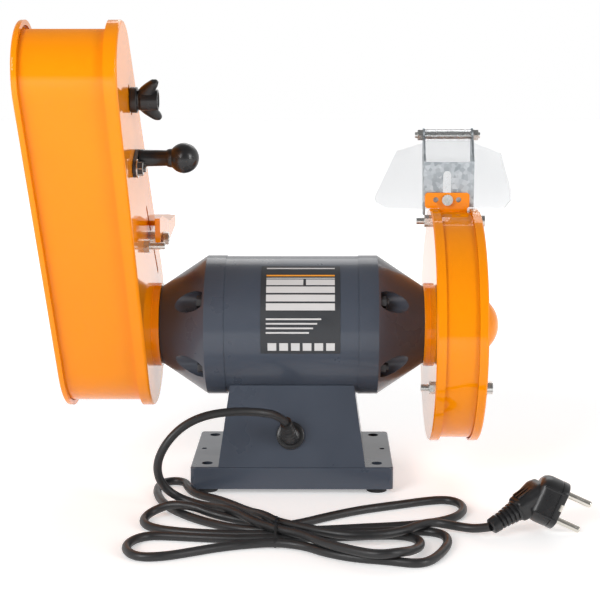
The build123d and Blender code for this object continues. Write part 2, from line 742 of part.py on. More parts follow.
RIGHT_WING = ((-0.3, PANE_LOW), (-0.3, 257), (22.4, 250), (40.2, 213), (38.5, 208.5), (31, PANE_LOW))
LEFT_WING = ((-0.3, PANE_LOW), (-0.3, 257), (23.5, 248), (33, 219), (33.3, 211), (28, PANE_LOW))
BARREL_LEFT = BRACKET_LEFT + SHEET + GAP
BARREL_RIGHT = BRACKET_RIGHT - SHEET - GAP
with BuildPart() as eye_shield:
    with BuildSketch(Plane(origin=(0, PANE_REAR, 0), x_dir=(1, 0, 0), z_dir=(0, -1, 0))):
        with Locations(((BEND_LEFT + BEND_RIGHT) / 2, (PANE_LOW + PANE_HIGH) / 2)):
            Rectangle(BEND_RIGHT - BEND_LEFT, PANE_HIGH - PANE_LOW)
    extrude(amount=PANE_THICK)
    with BuildSketch(wing_plane(1, BEND_RIGHT)):
        with BuildLine():
            Polyline(*RIGHT_WING, close=True)
        make_face()
    extrude(amount=PANE_THICK)
    with BuildSketch(wing_plane(-1, BEND_LEFT)):
        with BuildLine():
            Polyline(*LEFT_WING, close=True)
        make_face()
    extrude(amount=-PANE_THICK)
    with BuildSketch(Plane(origin=(BARREL_LEFT, HINGE_Y, HINGE_Z), x_dir=(0, 1, 0), z_dir=(1, 0, 0))):
        Circle(4.6)
        with Locations((-7, -5)):
            Rectangle(2, 9)
        with Locations((-4, -3)):
            Rectangle(7, 2)
        Circle(2.5 + FIT, mode=Mode.SUBTRACT)
    extrude(amount=BARREL_RIGHT - BARREL_LEFT)
save(eye_shield, "eye_shield")

# ---------------------------------------------------------------- tool rest at the wheel
REST_TOP = AXIS_Z
REST_CLAMP_Y = -62.0
REST_CLAMP_Z = 109.0
with BuildPart() as wheel_tool_rest:
    with BuildSketch(Plane.XY.offset(REST_TOP - 3.5)):
        with Locations((-122, -(WHEEL_R + 2 + 9))):
            Rectangle(28, 18)
        with Locations((-119.5, -104)):
            RectangleRounded(52, 26, 3)
    extrude(amount=3.5)
    with BuildSketch(Plane(origin=(-99.5, 0, 0), x_dir=(0, 1, 0), z_dir=(1, 0, 0))):
        with Locations((-81.5, REST_CLAMP_Z)):
            Rectangle(63, 18)
        with Locations((REST_CLAMP_Y, REST_CLAMP_Z)):
            SlotOverall(22, 5.6, mode=Mode.SUBTRACT)
    extrude(amount=3)
    fillet(wheel_tool_rest.edges().filter_by(Axis.Y).filter_by(lambda e: e.center().Z < 101), 1)
save(wheel_tool_rest, "wheel_tool_rest")

with BuildPart() as clamp_screws:
    # eye-shield clamp: shank through the tab and the bracket's slot, head on the tab,
    # washer and nut in front
    with BuildSketch(Plane(origin=(SCREW_X, TAB_REAR + 3, SCREW_Z), x_dir=(1, 0, 0), z_dir=(0, -1, 0))):
        Circle(2.5)
    extrude(amount=14)
    with BuildSketch(Plane(origin=(SCREW_X, TAB_REAR + 3.2, SCREW_Z), x_dir=(1, 0, 0), z_dir=(0, -1, 0))):
        Circle(4.15)
        Circle(1.8, mode=Mode.SUBTRACT)
    extrude(amount=3.2)
    with BuildSketch(
        Plane(origin=(SCREW_X, BRACKET_REAR - SHEET - GAP, SCREW_Z), x_dir=(1, 0, 0), z_dir=(0, -1, 0))
    ):
        RegularPolygon(4.6, 6)
    extrude(amount=4)
    # tool-rest clamp: spacer on the guard plate, shank through the slot, hex head
    with BuildSketch(Plane(origin=(-GUARD_IN, REST_CLAMP_Y, REST_CLAMP_Z), x_dir=(0, 1, 0), z_dir=(1, 0, 0))):
        Circle(5.5)
    extrude(amount=GUARD_IN - 99.5 - GAP)
    with BuildSketch(Plane(origin=(-GUARD_IN, REST_CLAMP_Y, REST_CLAMP_Z), x_dir=(0, 1, 0), z_dir=(1, 0, 0))):
        Circle(2.5)
    extrude(amount=10)
    with BuildSketch(
        Plane(origin=(-96.5 + GAP, REST_CLAMP_Y, REST_CLAMP_Z), x_dir=(0, 1, 0), z_dir=(1, 0, 0))
    ):
        RegularPolygon(5.5, 6)
    extrude(amount=4)
save(clamp_screws, "clamp_screws")

# ================================================================ belt arm
FRONT_OPEN_LOW = 14.0           # belt window in the arm's front, along the arm
FRONT_OPEN_HIGH = 292.0
INNER_OUTLINE = stadium(WALL_BIG_R - SHEET, WALL_TOP_R - SHEET)
WALL_OUTLINE = stadium(WALL_BIG_R, WALL_TOP_R)
LIP_OUTLINE = stadium(LIP_BIG_R, LIP_TOP_R)
LEVER_PIVOT = (167.0, -12.0)     # spots on the arm: along it, towards the front
LEVER_TIP = (164.5, 2.0)
TRACKING = (208.0, 10.0)
TABLE_CLAMP = (75.0, 17.0)
PLATE_NUT = (91.0, -8.0)
COVER_SCREWS = ((150.0, -21.0), (60.0, 0.0))
SPRING_SEAT = 125.0
SPRING_X = 116.0
PIN_R = 2.95


def seat(outline, plane):
    """The outline laid on a plane."""
    return plane.location * outline


with BuildPart() as arm_inner_plate:
    extrude(seat(LIP_OUTLINE, arm_plane(ARM_IN)), amount=ARM_BAND - ARM_IN)
    fillet(arm_inner_plate.faces().sort_by(Axis.X)[0].edges(), 2)
    extrude(seat(WALL_OUTLINE, arm_plane(ARM_IN + SHEET)), amount=20, mode=Mode.SUBTRACT)
    with BuildSketch(arm_plane(CONE_END + GAP)):
        Circle(32)
    extrude(amount=ARM_IN - CONE_END)
    with BuildSketch(arm_plane(CONE_END + GAP + SHEET)):
        Circle(30.5)
    extrude(amount=10, mode=Mode.SUBTRACT)
    with BuildSketch(arm_plane(CONE_END - 1)):
        Circle(HUB_R + FIT)
        with Locations(TRACKING):
            SlotOverall(24, 6.4)
        with Locations(LEVER_PIVOT):
            Circle(PIN_R + FIT)
        for spot in (TABLE_CLAMP, PLATE_NUT):
            with Locations(spot):
                Circle(2.5)
        with Locations((60, 30)):
            SlotOverall(86, 3.5, rotation=-11.4)
    extrude(amount=20, mode=Mode.SUBTRACT)
    with BuildSketch(arm_plane(ARM_IN + SHEET)):
        with Locations((SPRING_SEAT - 1.5, 0)):
            Rectangle(3, 18)
    extrude(amount=18)
save(arm_inner_plate, "arm_inner_plate")

with BuildPart() as arm_side_wall:
    extrude(seat(WALL_OUTLINE, arm_plane(ARM_IN + SHEET)), amount=ARM_OUT - ARM_IN - 2 * SHEET)
    extrude(seat(INNER_OUTLINE, arm_plane(ARM_IN)), amount=80, mode=Mode.SUBTRACT)
    with BuildSketch(arm_plane(ARM_BAND)):
        with Locations(((FRONT_OPEN_LOW + FRONT_OPEN_HIGH) / 2, 50)):
            Rectangle(FRONT_OPEN_HIGH - FRONT_OPEN_LOW, 84)
    extrude(amount=60, mode=Mode.SUBTRACT)
save(arm_side_wall, "arm_side_wall")

with BuildPart() as arm_outer_cover:
    extrude(seat(LIP_OUTLINE, arm_plane(ARM_WALL_END)), amount=ARM_OUT - ARM_WALL_END)
    fillet(arm_outer_cover.faces().sort_by(Axis.X)[-1].edges(), 2)
    extrude(
        seat(stadium(WALL_BIG_R + 0.6, WALL_TOP_R + 0.6), arm_plane(ARM_WALL_END)),
        amount=ARM_OUT - ARM_WALL_END - SHEET,
        mode=Mode.SUBTRACT,
    )
    with BuildSketch(arm_plane(ARM_OUT - 3)):
        for spot in COVER_SCREWS:
            with Locations(spot):
                Circle(2.7)
    extrude(amount=6, mode=Mode.SUBTRACT)
save(arm_outer_cover, "arm_outer_cover")

with BuildPart() as arm_cover_posts:
    for spot in COVER_SCREWS:
        with BuildSketch(arm_plane(ARM_IN + SHEET)):
            with Locations(spot):
                RegularPolygon(5, 6)
        extrude(amount=ARM_OUT - ARM_IN - 2 * SHEET)
        with BuildSketch(arm_plane(ARM_OUT - SHEET)):
            with Locations(spot):
                Circle(2.5)
        extrude(amount=SHEET + 1)
        with BuildSketch(arm_plane(ARM_OUT)):
            with Locations(spot):
                Circle(5)
        extrude(amount=3)
save(arm_cover_posts, "arm_cover_posts")

BELT_OUTLINE = stadium(DRIVE_R, IDLER_R)
BELT_OUTSIDE = stadium(DRIVE_R + 1, IDLER_R + 1)
with BuildPart() as sanding_belt:
    extrude(seat(BELT_OUTSIDE, arm_plane(BELT_IN)), amount=BELT_WIDE)
    extrude(seat(BELT_OUTLINE, arm_plane(BELT_IN)), amount=BELT_WIDE, mode=Mode.SUBTRACT)
save(sanding_belt, "sanding_belt")

# The flat plate behind the belt's working run, parallel to that run.
BELT_TILT = math.degrees(math.asin((DRIVE_R - IDLER_R) / ARM_LENGTH))
PLATEN_ALONG = 122.0
PLATEN_FRONT = DRIVE_R / math.cos(math.radians(BELT_TILT)) - PLATEN_ALONG * math.tan(math.radians(BELT_TILT))
with BuildPart() as belt_platen:
    with BuildSketch(arm_plane(ARM_IN + SHEET)):
        with Locations((PLATEN_ALONG, PLATEN_FRONT - 2.0)):
            Rectangle(104, 3, rotation=-BELT_TILT)
    extrude(amount=ARM_WALL_END - ARM_IN - SHEET - 2)
    with BuildSketch(arm_plane(ARM_IN + SHEET)):
        with Locations((PLATEN_ALONG - 6, PLATEN_FRONT - 10.4)):
            Rectangle(50, 18, rotation=-BELT_TILT)
    extrude(amount=2.5)
save(belt_platen, "belt_platen")

# ---------------------------------------------------------------- idler and its tensioner
CARRIAGE_IN = ARM_IN + SHEET + GAP
CARRIAGE_THICK = 4.0
TAIL = 158.0
AXLE_R = 5.0
with BuildPart() as idler_carriage:
    with BuildSketch(arm_plane(CARRIAGE_IN)):
        with Locations(((TAIL + ARM_LENGTH) / 2, 0)):
            Rectangle(ARM_LENGTH - TAIL, 30)
        with Locations((ARM_LENGTH, 0)):
            Circle(15)
        with Locations(TRACKING):
            Circle(PIN_R + FIT, mode=Mode.SUBTRACT)
    extrude(amount=CARRIAGE_THICK)
    with BuildSketch(arm_plane(CARRIAGE_IN)):
        with Locations((TAIL + 1.5, 0)):
            Rectangle(3, 18)
    extrude(amount=17)
save(idler_carriage, "idler_carriage")

AXLE_IN = CARRIAGE_IN + CARRIAGE_THICK
with BuildPart() as idler_axle:
    with BuildSketch(arm_plane(AXLE_IN)):
        with Locations((ARM_LENGTH, 0)):
            Circle(AXLE_R)
    extrude(amount=167 - AXLE_IN)
    with BuildSketch(arm_plane(AXLE_IN)):
        with Locations((ARM_LENGTH, 0)):
            Circle(8)
    extrude(amount=3)
    with BuildSketch(arm_plane(164.5)):
        with Locations((ARM_LENGTH, 0)):
            Circle(7)
    extrude(amount=1)
save(idler_axle, "idler_axle")

with BuildPart() as idler_roller:
    with BuildSketch(arm_plane(DRIVE_IN)):
        with Locations((ARM_LENGTH, 0)):
            Circle(IDLER_R - GAP)
            Circle(17, mode=Mode.SUBTRACT)
    extrude(amount=DRIVE_WIDE)
    for x in (118, 156):
        with BuildSketch(arm_plane(x)):
            with Locations((ARM_LENGTH, 0)):
                Circle(18)
                Circle(AXLE_R + FIT, mode=Mode.SUBTRACT)
        extrude(amount=8)
save(idler_roller, "idler_roller")

SPRING_R = 4.5
SPRING_WIRE = 0.8
SPRING_LENGTH = TAIL - SPRING_SEAT - 2 * SPRING_WIRE - 0.4
with BuildPart() as tension_spring:
    with BuildLine() as coil:
        Helix(
            pitch=4,
            height=SPRING_LENGTH,
            radius=SPRING_R,
            center=arm_point(SPRING_X, SPRING_SEAT + SPRING_WIRE + 0.2, 0),
            direction=(0, SIN_LEAN, COS_LEAN),
        )
    with BuildSketch(Plane(origin=coil.line @ 0, z_dir=coil.line % 0)):
        Circle(SPRING_WIRE)
    sweep(path=coil.line, is_frenet=True)
save(tension_spring, "tension_spring")

LEVER_X = 102.6
LEVER_THICK = 2.4
ROD_R = 3.0
ROD_END = 78.0
with BuildPart() as tension_lever:
    with BuildSketch(arm_plane(LEVER_X)):
        for spot in (LEVER_PIVOT, LEVER_TIP):
            with Locations(spot):
                Circle(6)
        make_hull()
    extrude(amount=LEVER_THICK)
    with BuildSketch(arm_plane(LEVER_X)):
        with Locations(LEVER_PIVOT):
            Circle(PIN_R)
    extrude(amount=ARM_IN + SHEET + 0.1 - LEVER_X)
    with BuildSketch(arm_plane(LEVER_X - 4)):
        with Locations(LEVER_PIVOT):
            RegularPolygon(5.2, 6)
    extrude(amount=4)
    with BuildSketch(arm_plane(LEVER_X - 6)):
        with Locations(LEVER_PIVOT):
            Circle(2.5)
    extrude(amount=4)
    with BuildSketch(arm_plane(ROD_END)):
        with Locations(LEVER_TIP):
            Circle(ROD_R)
    extrude(amount=LEVER_X - ROD_END)
save(tension_lever, "tension_lever")

# Ball grip, turned about the rod: neck, ball and the rod's blind hole.
BALL_R = 10.35
BALL_X = 72.0
NECK_R = 5.4
NECK_X = BALL_X + math.sqrt(BALL_R**2 - NECK_R**2)
GRIP_SECTION = Plane(origin=arm_point(0, *LEVER_TIP), x_dir=(1, 0, 0), z_dir=ARM_BACK)
with BuildPart() as lever_grip:
    with BuildSketch(GRIP_SECTION):
        with BuildLine():
            Polyline(
                (BALL_X - BALL_R, 0),
                (ROD_END, 0),
                (ROD_END, ROD_R),
                (LEVER_X, ROD_R),
                (LEVER_X, NECK_R + 0.6),
                (NECK_X, NECK_R),
            )
            ThreePointArc((NECK_X, NECK_R), (BALL_X, BALL_R), (BALL_X - BALL_R, 0))
        make_face()
    revolve(axis=Axis(GRIP_SECTION.origin, (1, 0, 0)))
save(lever_grip, "lever_grip")

KNOB_X = 86.0
with BuildPart() as tracking_knob:
    with BuildSketch(arm_plane(ARM_IN - 0.7)):
        with Locations(TRACKING):
            Circle(8.5)
    extrude(amount=-5)
    with BuildSketch(arm_plane(ARM_IN - 5)):
        with Locations(TRACKING):
            Circle(7.5)
    extrude(amount=KNOB_X - ARM_IN + 5)
    with BuildSketch(Plane(origin=arm_point(0, *TRACKING), x_dir=(1, 0, 0), z_dir=ARM_BACK)):
        with BuildLine():
            Polyline(
                (101, 6.5), (97, 8), (93, 15), (88, 15), (KNOB_X, 12), (88, 6.5), (88, 0), (101, 0), close=True
            )
        make_face()
        mirror(about=Plane.XZ)
    extrude(amount=3.2, both=True)
    with BuildSketch(arm_plane(ARM_IN - 1)):
        with Locations(TRACKING):
            Circle(PIN_R)
    extrude(amount=AXLE_IN + 2 - ARM_IN)
save(tracking_knob, "tracking_knob")

# ---------------------------------------------------------------- belt table
BAR_X = 95.0
BAR_THICK = 3.7
with BuildPart() as arm_fasteners:
    for spot in (TABLE_CLAMP, PLATE_NUT):
        with BuildSketch(arm_plane(ARM_IN - 15)):
            with Locations(spot):
                Circle(2.5)
        extrude(amount=15 + SHEET + 2)
        with BuildSketch(arm_plane(ARM_IN + SHEET)):
            with Locations(spot):
                Circle(4.6)
        extrude(amount=3)
    with BuildSketch(arm_plane(ARM_IN - 4)):
        with Locations(PLATE_NUT):
            RegularPolygon(5, 6)
    extrude(amount=4)
    with BuildSketch(arm_plane(BAR_X + BAR_THICK + GAP)):
        with Locations(TABLE_CLAMP):
            Circle(5.5)
    extrude(amount=ARM_IN - BAR_X - BAR_THICK - GAP)
    with BuildSketch(arm_plane(BAR_X - GAP - 4)):
        with Locations(TABLE_CLAMP):
            RegularPolygon(5, 6)
    extrude(amount=4)
save(arm_fasteners, "arm_fasteners")

# The bracket is a flat bar that runs forward from its clamp to the level table.
CLAMP_POINT = arm_point(0, *TABLE_CLAMP)
CLAMP_Y = CLAMP_POINT.Y
CLAMP_Z = CLAMP_POINT.Z
BAR_REAR = CLAMP_Y + 17.7
TABLE_TOP = 198.0
TABLE_THICK = 4.0
TABLE_REAR = -18.0      # behind this only a tongue reaches through the arm's window
TABLE_FRONT = -62.0
TONGUE_REAR = 1.5
with BuildPart() as table_bracket:
    with BuildSketch(Plane(origin=(BAR_X, 0, 0), x_dir=(0, 1, 0), z_dir=(1, 0, 0))):
        with BuildLine():
            Polyline(
                (BAR_REAR, CLAMP_Z - 6),
                (BAR_REAR, CLAMP_Z + 16.5),
                (CLAMP_Y, CLAMP_Z + 16.5),
                (TABLE_REAR, TABLE_TOP),
                (TABLE_FRONT + 4, TABLE_TOP),
                (TABLE_FRONT + 4, TABLE_TOP - 8),
                (TABLE_REAR, CLAMP_Z - 6),
                close=True,
            )
        make_face()
        with Locations((CLAMP_Y + 5, CLAMP_Z)):
            SlotOverall(16.4, 5.6, mode=Mode.SUBTRACT)
    extrude(amount=BAR_THICK)
save(table_bracket, "table_bracket")

with BuildPart() as belt_table:
    with BuildSketch(Plane.XY.offset(TABLE_TOP - TABLE_THICK)):
        with Locations(((BAR_X + BAR_THICK + ARM_OUT) / 2, (TABLE_REAR + TABLE_FRONT) / 2)):
            RectangleRounded(ARM_OUT - BAR_X - BAR_THICK, TABLE_REAR - TABLE_FRONT, 3)
        with Locations((BELT_IN + BELT_WIDE / 2, (TABLE_REAR + TONGUE_REAR) / 2 - 2)):
            Rectangle(BELT_WIDE - 1, TONGUE_REAR - TABLE_REAR + 4)
    extrude(amount=TABLE_THICK)
save(belt_table, "belt_table")

# ================================================================ switch on the front
HOUSING_DEPTH = 14.0
BUTTON = 14.0
TRAVEL = 2.5
WELL = 8.0
BUTTON_SPACING = 19.0
with BuildPart() as switch_housing:
    with BuildSketch(SWITCH_PLANE):
        RectangleRounded(34, 50, 4)
    extrude(amount=HOUSING_DEPTH)
    fillet(switch_housing.faces().sort_by(Axis.Y)[0].edges(), 2)
    with BuildSketch(SWITCH_PLANE.offset(HOUSING_DEPTH)):
        with GridLocations(1, BUTTON_SPACING, 1, 2):
            RectangleRounded(BUTTON + 2 * GAP, BUTTON + 2 * GAP, 1.5)
    extrude(amount=-WELL, mode=Mode.SUBTRACT)
save(switch_housing, "switch_housing")

for name, spot in (("start_button", BUTTON_SPACING / 2), ("stop_button", -BUTTON_SPACING / 2)):
    with BuildPart() as button:
        with BuildSketch(SWITCH_PLANE.offset(HOUSING_DEPTH - WELL + TRAVEL + GAP)):
            with Locations((0, spot)):
                RectangleRounded(BUTTON, BUTTON, 1.3)
        extrude(amount=WELL - TRAVEL - GAP + 3)
        fillet(button.faces().sort_by(Axis.Y)[0].edges(), 0.8)
    save(button, name)

# ================================================================ cord
# Route of the lead, from the gland's tip down to the hank on the floor.
LEAD_ROUTE = (
    (4, 60, 58),
    (9, 69, 65.5),
    (20, 77, 70),
    (39, 83, 72.5),
    (60, 88, 71),
    (76, 92, 64.5),
    (88, 95.5, 53),
    (95, 95, 39),
    (95.5, 90.5, 26),
    (90.5, 86, 15),
    (81.5, 84, 8),
)
# Route of the last stretch, from the hank to the plug.
TAIL_ROUTE = (
    (-99, 137.5, 8),
    (-109.5, 135, 5.4),
    (-120, 136.8, 4),
    (-129.5, 141.5, 4.6),
    (-138, 147, 8),
)


GLAND_TIP = Vector(*LEAD_ROUTE[0])
GLAND_AIM = Vector(*LEAD_ROUTE[1]) - GLAND_TIP
with BuildPart() as cord_gland:
    with BuildSketch(GLAND_PLANE):
        Circle(10.5)
    extrude(amount=3)
    with BuildSketch(GLAND_PLANE):
        Circle(GLAND_HOLE_R - 0.1)
    extrude(amount=-8)
    with BuildSketch(GLAND_PLANE.offset(3)):
        Circle(7.5)
    with BuildSketch(Plane(origin=GLAND_TIP, z_dir=GLAND_AIM)):
        Circle(4.6)
    loft()
save(cord_gland, "cord_gland")


def arc_radii(route):
    """Largest arc radius at each corner that its two runs allow."""
    radii = []
    for before, corner, after in zip(route, route[1:], route[2:]):
        run_in = Vector(*corner) - Vector(*before)
        run_out = Vector(*after) - Vector(*corner)
        half_turn = math.radians(run_in.get_angle(run_out) / 2)
        radii.append(0.45 * min(run_in.length, run_out.length) / math.tan(half_turn))
    return radii


def cord_tube(route):
    """Cord along a route of straight runs joined by tangent arcs."""
    radii = arc_radii(route)
    print("arc radii", [round(radius, 1) for radius in radii])
    with BuildPart() as tube:
        with BuildLine() as path:
            FilletPolyline(*route, radius=radii)
        with BuildSketch(Plane(origin=path.line @ 0, z_dir=path.line % 0)):
            Circle(CORD_R)
        sweep(path=path.line)
    length = path.wire().length
    ideal = math.pi * CORD_R**2 * length
    print("tube length", round(length, 1), "volume ratio", round(tube.part.volume / ideal, 4))
    return tube


cord_lead = cord_tube(LEAD_ROUTE)
save(cord_lead, "cord_lead")
cord_tail = cord_tube(TAIL_ROUTE)
save(cord_tail, "cord_tail")

TIE_X = 8.5
HANK_HEIGHT = 12.4
HANK_OUTLINE = (
    (TIE_X, 133),
    (40, 89),
    (59, 68),
    (79, 53.5),
    (85, 42),
    (93, 37),
    (102, 43),
    (105, 62),
    (110, 110),
    (113, 172),
    (107, 197),
    (90, 202),
    (48, 182),
    (TIE_X, 171),
    (-20, 193),
    (-58, 213),
    (-85, 211),
    (-103, 192),
    (-112, 165),
    (-112, 138),
    (-126, 112),
    (-128, 90),
    (-118, 69),
    (-104, 68),
    (-50, 90),
)
with BuildPart() as cord_hank:
    with BuildSketch(Plane.XY):
        with BuildLine():
            Polyline(*HANK_OUTLINE, close=True)
        make_face()
    extrude(amount=HANK_HEIGHT)
    with BuildSketch(Plane.XY):
        with Locations((TIE_X, 152)):
            Rectangle(3, 60)
    extrude(amount=1, mode=Mode.SUBTRACT)
save(cord_hank, "cord_hank")

with BuildPart() as cord_tie:
    with BuildSketch(Plane(origin=(TIE_X - 0.9, 152, 0), x_dir=(0, 1, 0), z_dir=(1, 0, 0))):
        with Locations((0, (HANK_HEIGHT + 1.2) / 2)):
            RectangleRounded(44, HANK_HEIGHT + 1.2, 3)
            Rectangle(42, HANK_HEIGHT - 0.8, mode=Mode.SUBTRACT)
    extrude(amount=1.8)
save(cord_tie, "cord_tie")

# ---------------------------------------------------------------- plug
PIN_AXIS = Vector(-0.91, 0.10, -0.40).normalized()
PIN_SPREAD = Vector(0.39, 0.15, -0.91)
FACE_CENTRE = Vector(-187, 134, 18.2)
PLUG_FACE = Plane(origin=FACE_CENTRE, x_dir=PIN_SPREAD, z_dir=PIN_AXIS)
RELIEF_END = Vector(*TAIL_ROUTE[-1])
HEAD_BACK = PLUG_FACE.offset(-17).origin
RELIEF_AXIS = (HEAD_BACK - RELIEF_END).normalized()
HEAD_LENGTH = 20.0
HEAD_R = 17.0
with BuildPart() as plug_body:
    with BuildSketch(PLUG_FACE):
        Circle(HEAD_R)
        Rectangle(2 * HEAD_R, 26, mode=Mode.INTERSECT)
    extrude(amount=-HEAD_LENGTH)
    with BuildSketch(Plane(origin=HEAD_BACK + RELIEF_AXIS * 3, z_dir=RELIEF_AXIS)):
        Circle(12.4)
    with BuildSketch(Plane(origin=RELIEF_END + RELIEF_AXIS * 22, z_dir=RELIEF_AXIS)):
        Circle(9.2)
    loft()
    with BuildSketch(Plane(origin=RELIEF_END + RELIEF_AXIS * 22.5, z_dir=RELIEF_AXIS)):
        Circle(9)
    with BuildSketch(Plane(origin=RELIEF_END, z_dir=RELIEF_AXIS)):
        Circle(5.8)
    loft()
save(plug_body, "plug_body")

with BuildPart() as plug_pins:
    with BuildSketch(PLUG_FACE):
        with GridLocations(19, 1, 2, 1):
            Circle(2.4)
    extrude(amount=19)
    tips = plug_pins.faces().sort_by(Axis(FACE_CENTRE, PIN_AXIS))[-2:]
    fillet(tips.edges(), 1.5)
save(plug_pins, "plug_pins")
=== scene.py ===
"""Looks of the bench grinder: camera, studio, mains cord, finer pieces and materials."""
import json
import math

import bpy
import bmesh
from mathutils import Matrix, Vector


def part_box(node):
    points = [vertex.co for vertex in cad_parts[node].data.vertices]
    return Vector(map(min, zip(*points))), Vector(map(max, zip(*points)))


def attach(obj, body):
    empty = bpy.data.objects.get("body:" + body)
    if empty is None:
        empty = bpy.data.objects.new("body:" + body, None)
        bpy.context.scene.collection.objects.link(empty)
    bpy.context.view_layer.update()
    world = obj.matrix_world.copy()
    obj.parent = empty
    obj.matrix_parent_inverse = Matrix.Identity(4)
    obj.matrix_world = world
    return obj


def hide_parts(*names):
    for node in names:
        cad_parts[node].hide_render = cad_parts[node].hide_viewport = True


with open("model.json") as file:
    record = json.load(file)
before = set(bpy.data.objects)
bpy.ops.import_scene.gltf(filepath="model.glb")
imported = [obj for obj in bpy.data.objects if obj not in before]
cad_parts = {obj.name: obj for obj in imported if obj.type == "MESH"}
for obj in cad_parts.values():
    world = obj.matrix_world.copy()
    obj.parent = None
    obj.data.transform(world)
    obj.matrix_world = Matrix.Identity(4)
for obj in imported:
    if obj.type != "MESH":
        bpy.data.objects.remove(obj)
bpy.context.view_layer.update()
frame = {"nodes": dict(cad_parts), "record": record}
MM = 0.001
UP = Vector((0, 0, 1))
SHAFT = Vector((1, 0, 0))
AXIS_Z = 120.0
ARM_LEAN = math.radians(36)
ARM_UP = Vector((0, math.sin(ARM_LEAN), math.cos(ARM_LEAN)))
ARM_FRONT = Vector((0, -math.cos(ARM_LEAN), math.sin(ARM_LEAN)))


# ---------------------------------------------------------------- camera and studio
def add_camera():
    """Camera behind the machine, a little above it, looking slightly down."""
    data = bpy.data.cameras.new("camera")
    data.lens = 83.8
    data.sensor_width = 36
    data.shift_x = -0.0267
    data.shift_y = 0.0475
    data.clip_end = 50
    camera = bpy.data.objects.new("camera", data)
    down = math.radians(11.09)
    aim = Vector((0.0054 * math.cos(down), -math.cos(down), -math.sin(down)))
    camera.location = (-0.0236, 1.0558, 0.3237)
    camera.rotation_euler = aim.to_track_quat("-Z", "Y").to_euler()
    bpy.context.scene.collection.objects.link(camera)
    bpy.context.scene.camera = camera


def area_light(name, place, target, size, power):
    """Square soft light aimed at a point."""
    data = bpy.data.lights.new(name, "AREA")
    data.shape = "RECTANGLE"
    data.size, data.size_y = size
    data.energy = power
    light = bpy.data.objects.new(name, data)
    light.location = place
    aim = Vector(target) - Vector(place)
    light.rotation_euler = aim.to_track_quat("-Z", "Y").to_euler()
    bpy.context.scene.collection.objects.link(light)


def add_studio():
    """White floor that glows a little, three soft lights, and surroundings that darken towards +Y and +Z."""
    mesh = bpy.data.meshes.new("floor")
    half = 6.0
    corners = [(-half, -half, 0), (half, -half, 0), (half, half, 0), (-half, half, 0)]
    mesh.from_pydata(corners, [], [(0, 1, 2, 3)])
    floor = bpy.data.objects.new("floor", mesh)
    bpy.context.scene.collection.objects.link(floor)
    material, tree, shader = new_material("floor")
    shader.inputs["Base Color"].default_value = (0.93, 0.93, 0.93, 1)
    shader.inputs["Roughness"].default_value = 0.5
    shader.inputs["Specular IOR Level"].default_value = 0.15
    shader.inputs["Emission Color"].default_value = (1, 1, 1, 1)
    away = tree.nodes.new("ShaderNodeVectorMath")
    away.operation = "LENGTH"
    tree.links.new(place_coords(tree, (1, 1, 1)), away.inputs[0])
    glow = spread(tree, away.outputs["Value"], 0.36, 0.62, 0.35, 1.0)
    tree.links.new(glow, shader.inputs["Emission Strength"])
    floor.data.materials.append(material)
    world = bpy.data.worlds.new("world")
    world.use_nodes = True
    tree = world.node_tree
    tree.nodes["Background"].inputs[0].default_value = (1, 1, 1, 1)
    tree.nodes["Background"].inputs[1].default_value = 1.0
    coords = tree.nodes.new("ShaderNodeTexCoord")
    split = tree.nodes.new("ShaderNodeSeparateXYZ")
    tree.links.new(coords.outputs["Generated"], split.inputs["Vector"])
    # each fall: axis, where it starts and stops, and the light left at its end
    falls = []
    for axis, start, stop, low in (("Y", -0.2, 0.9, 0.2), ("Z", 0.15, 0.9, 0.3)):
        fall = tree.nodes.new("ShaderNodeMapRange")
        for socket, value in (("From Min", start), ("From Max", stop), ("To Min", 1.0), ("To Max", low)):
            fall.inputs[socket].default_value = value
        tree.links.new(split.outputs[axis], fall.inputs["Value"])
        falls.append(fall)
    # the product of both falls lights the object; seen directly, the backdrop stays white
    level = tree.nodes.new("ShaderNodeMath")
    level.operation = "MULTIPLY"
    tree.links.new(falls[0].outputs["Result"], level.inputs[0])
    tree.links.new(falls[1].outputs["Result"], level.inputs[1])
    path = tree.nodes.new("ShaderNodeLightPath")
    backdrop = tree.nodes.new("ShaderNodeMath")
    backdrop.operation = "MAXIMUM"
    tree.links.new(path.outputs["Is Camera Ray"], backdrop.inputs[0])
    tree.links.new(level.outputs["Value"], backdrop.inputs[1])
    tree.links.new(backdrop.outputs["Value"], tree.nodes["Background"].inputs["Strength"])
    bpy.context.scene.world = world
    area_light("key", (1.0, 1.5, 0.95), (0, 0, 0.12), (0.8, 0.8), 20)
    area_light("fill", (-1.5, 1.2, 0.7), (0, 0, 0.12), (0.5, 1.0), 14)
    area_light("front", (-0.3, -1.4, 1.3), (0, 0, 0.15), (1.4, 0.8), 7)
    bpy.context.scene.view_settings.view_transform = "Standard"


# ---------------------------------------------------------------- material tools
def new_material(name):
    material = bpy.data.materials.new(name)
    material.use_nodes = True
    tree = material.node_tree
    return material, tree, tree.nodes["Principled BSDF"]


def place_coords(tree, stretch):
    """Object coordinates, stretched to draw a texture out along an axis."""
    coords = tree.nodes.new("ShaderNodeTexCoord")
    mapping = tree.nodes.new("ShaderNodeMapping")
    mapping.inputs["Scale"].default_value = stretch
    tree.links.new(coords.outputs["Object"], mapping.inputs["Vector"])
    return mapping.outputs["Vector"]


def noise(tree, scale, detail=2.0, stretch=(1, 1, 1)):
    node = tree.nodes.new("ShaderNodeTexNoise")
    node.inputs["Scale"].default_value = scale
    node.inputs["Detail"].default_value = detail
    tree.links.new(place_coords(tree, stretch), node.inputs["Vector"])
    return node.outputs["Fac"]


def cells(tree, scale, output="Distance", stretch=(1, 1, 1)):
    node = tree.nodes.new("ShaderNodeTexVoronoi")
    node.inputs["Scale"].default_value = scale
    tree.links.new(place_coords(tree, stretch), node.inputs["Vector"])
    return node.outputs[output]


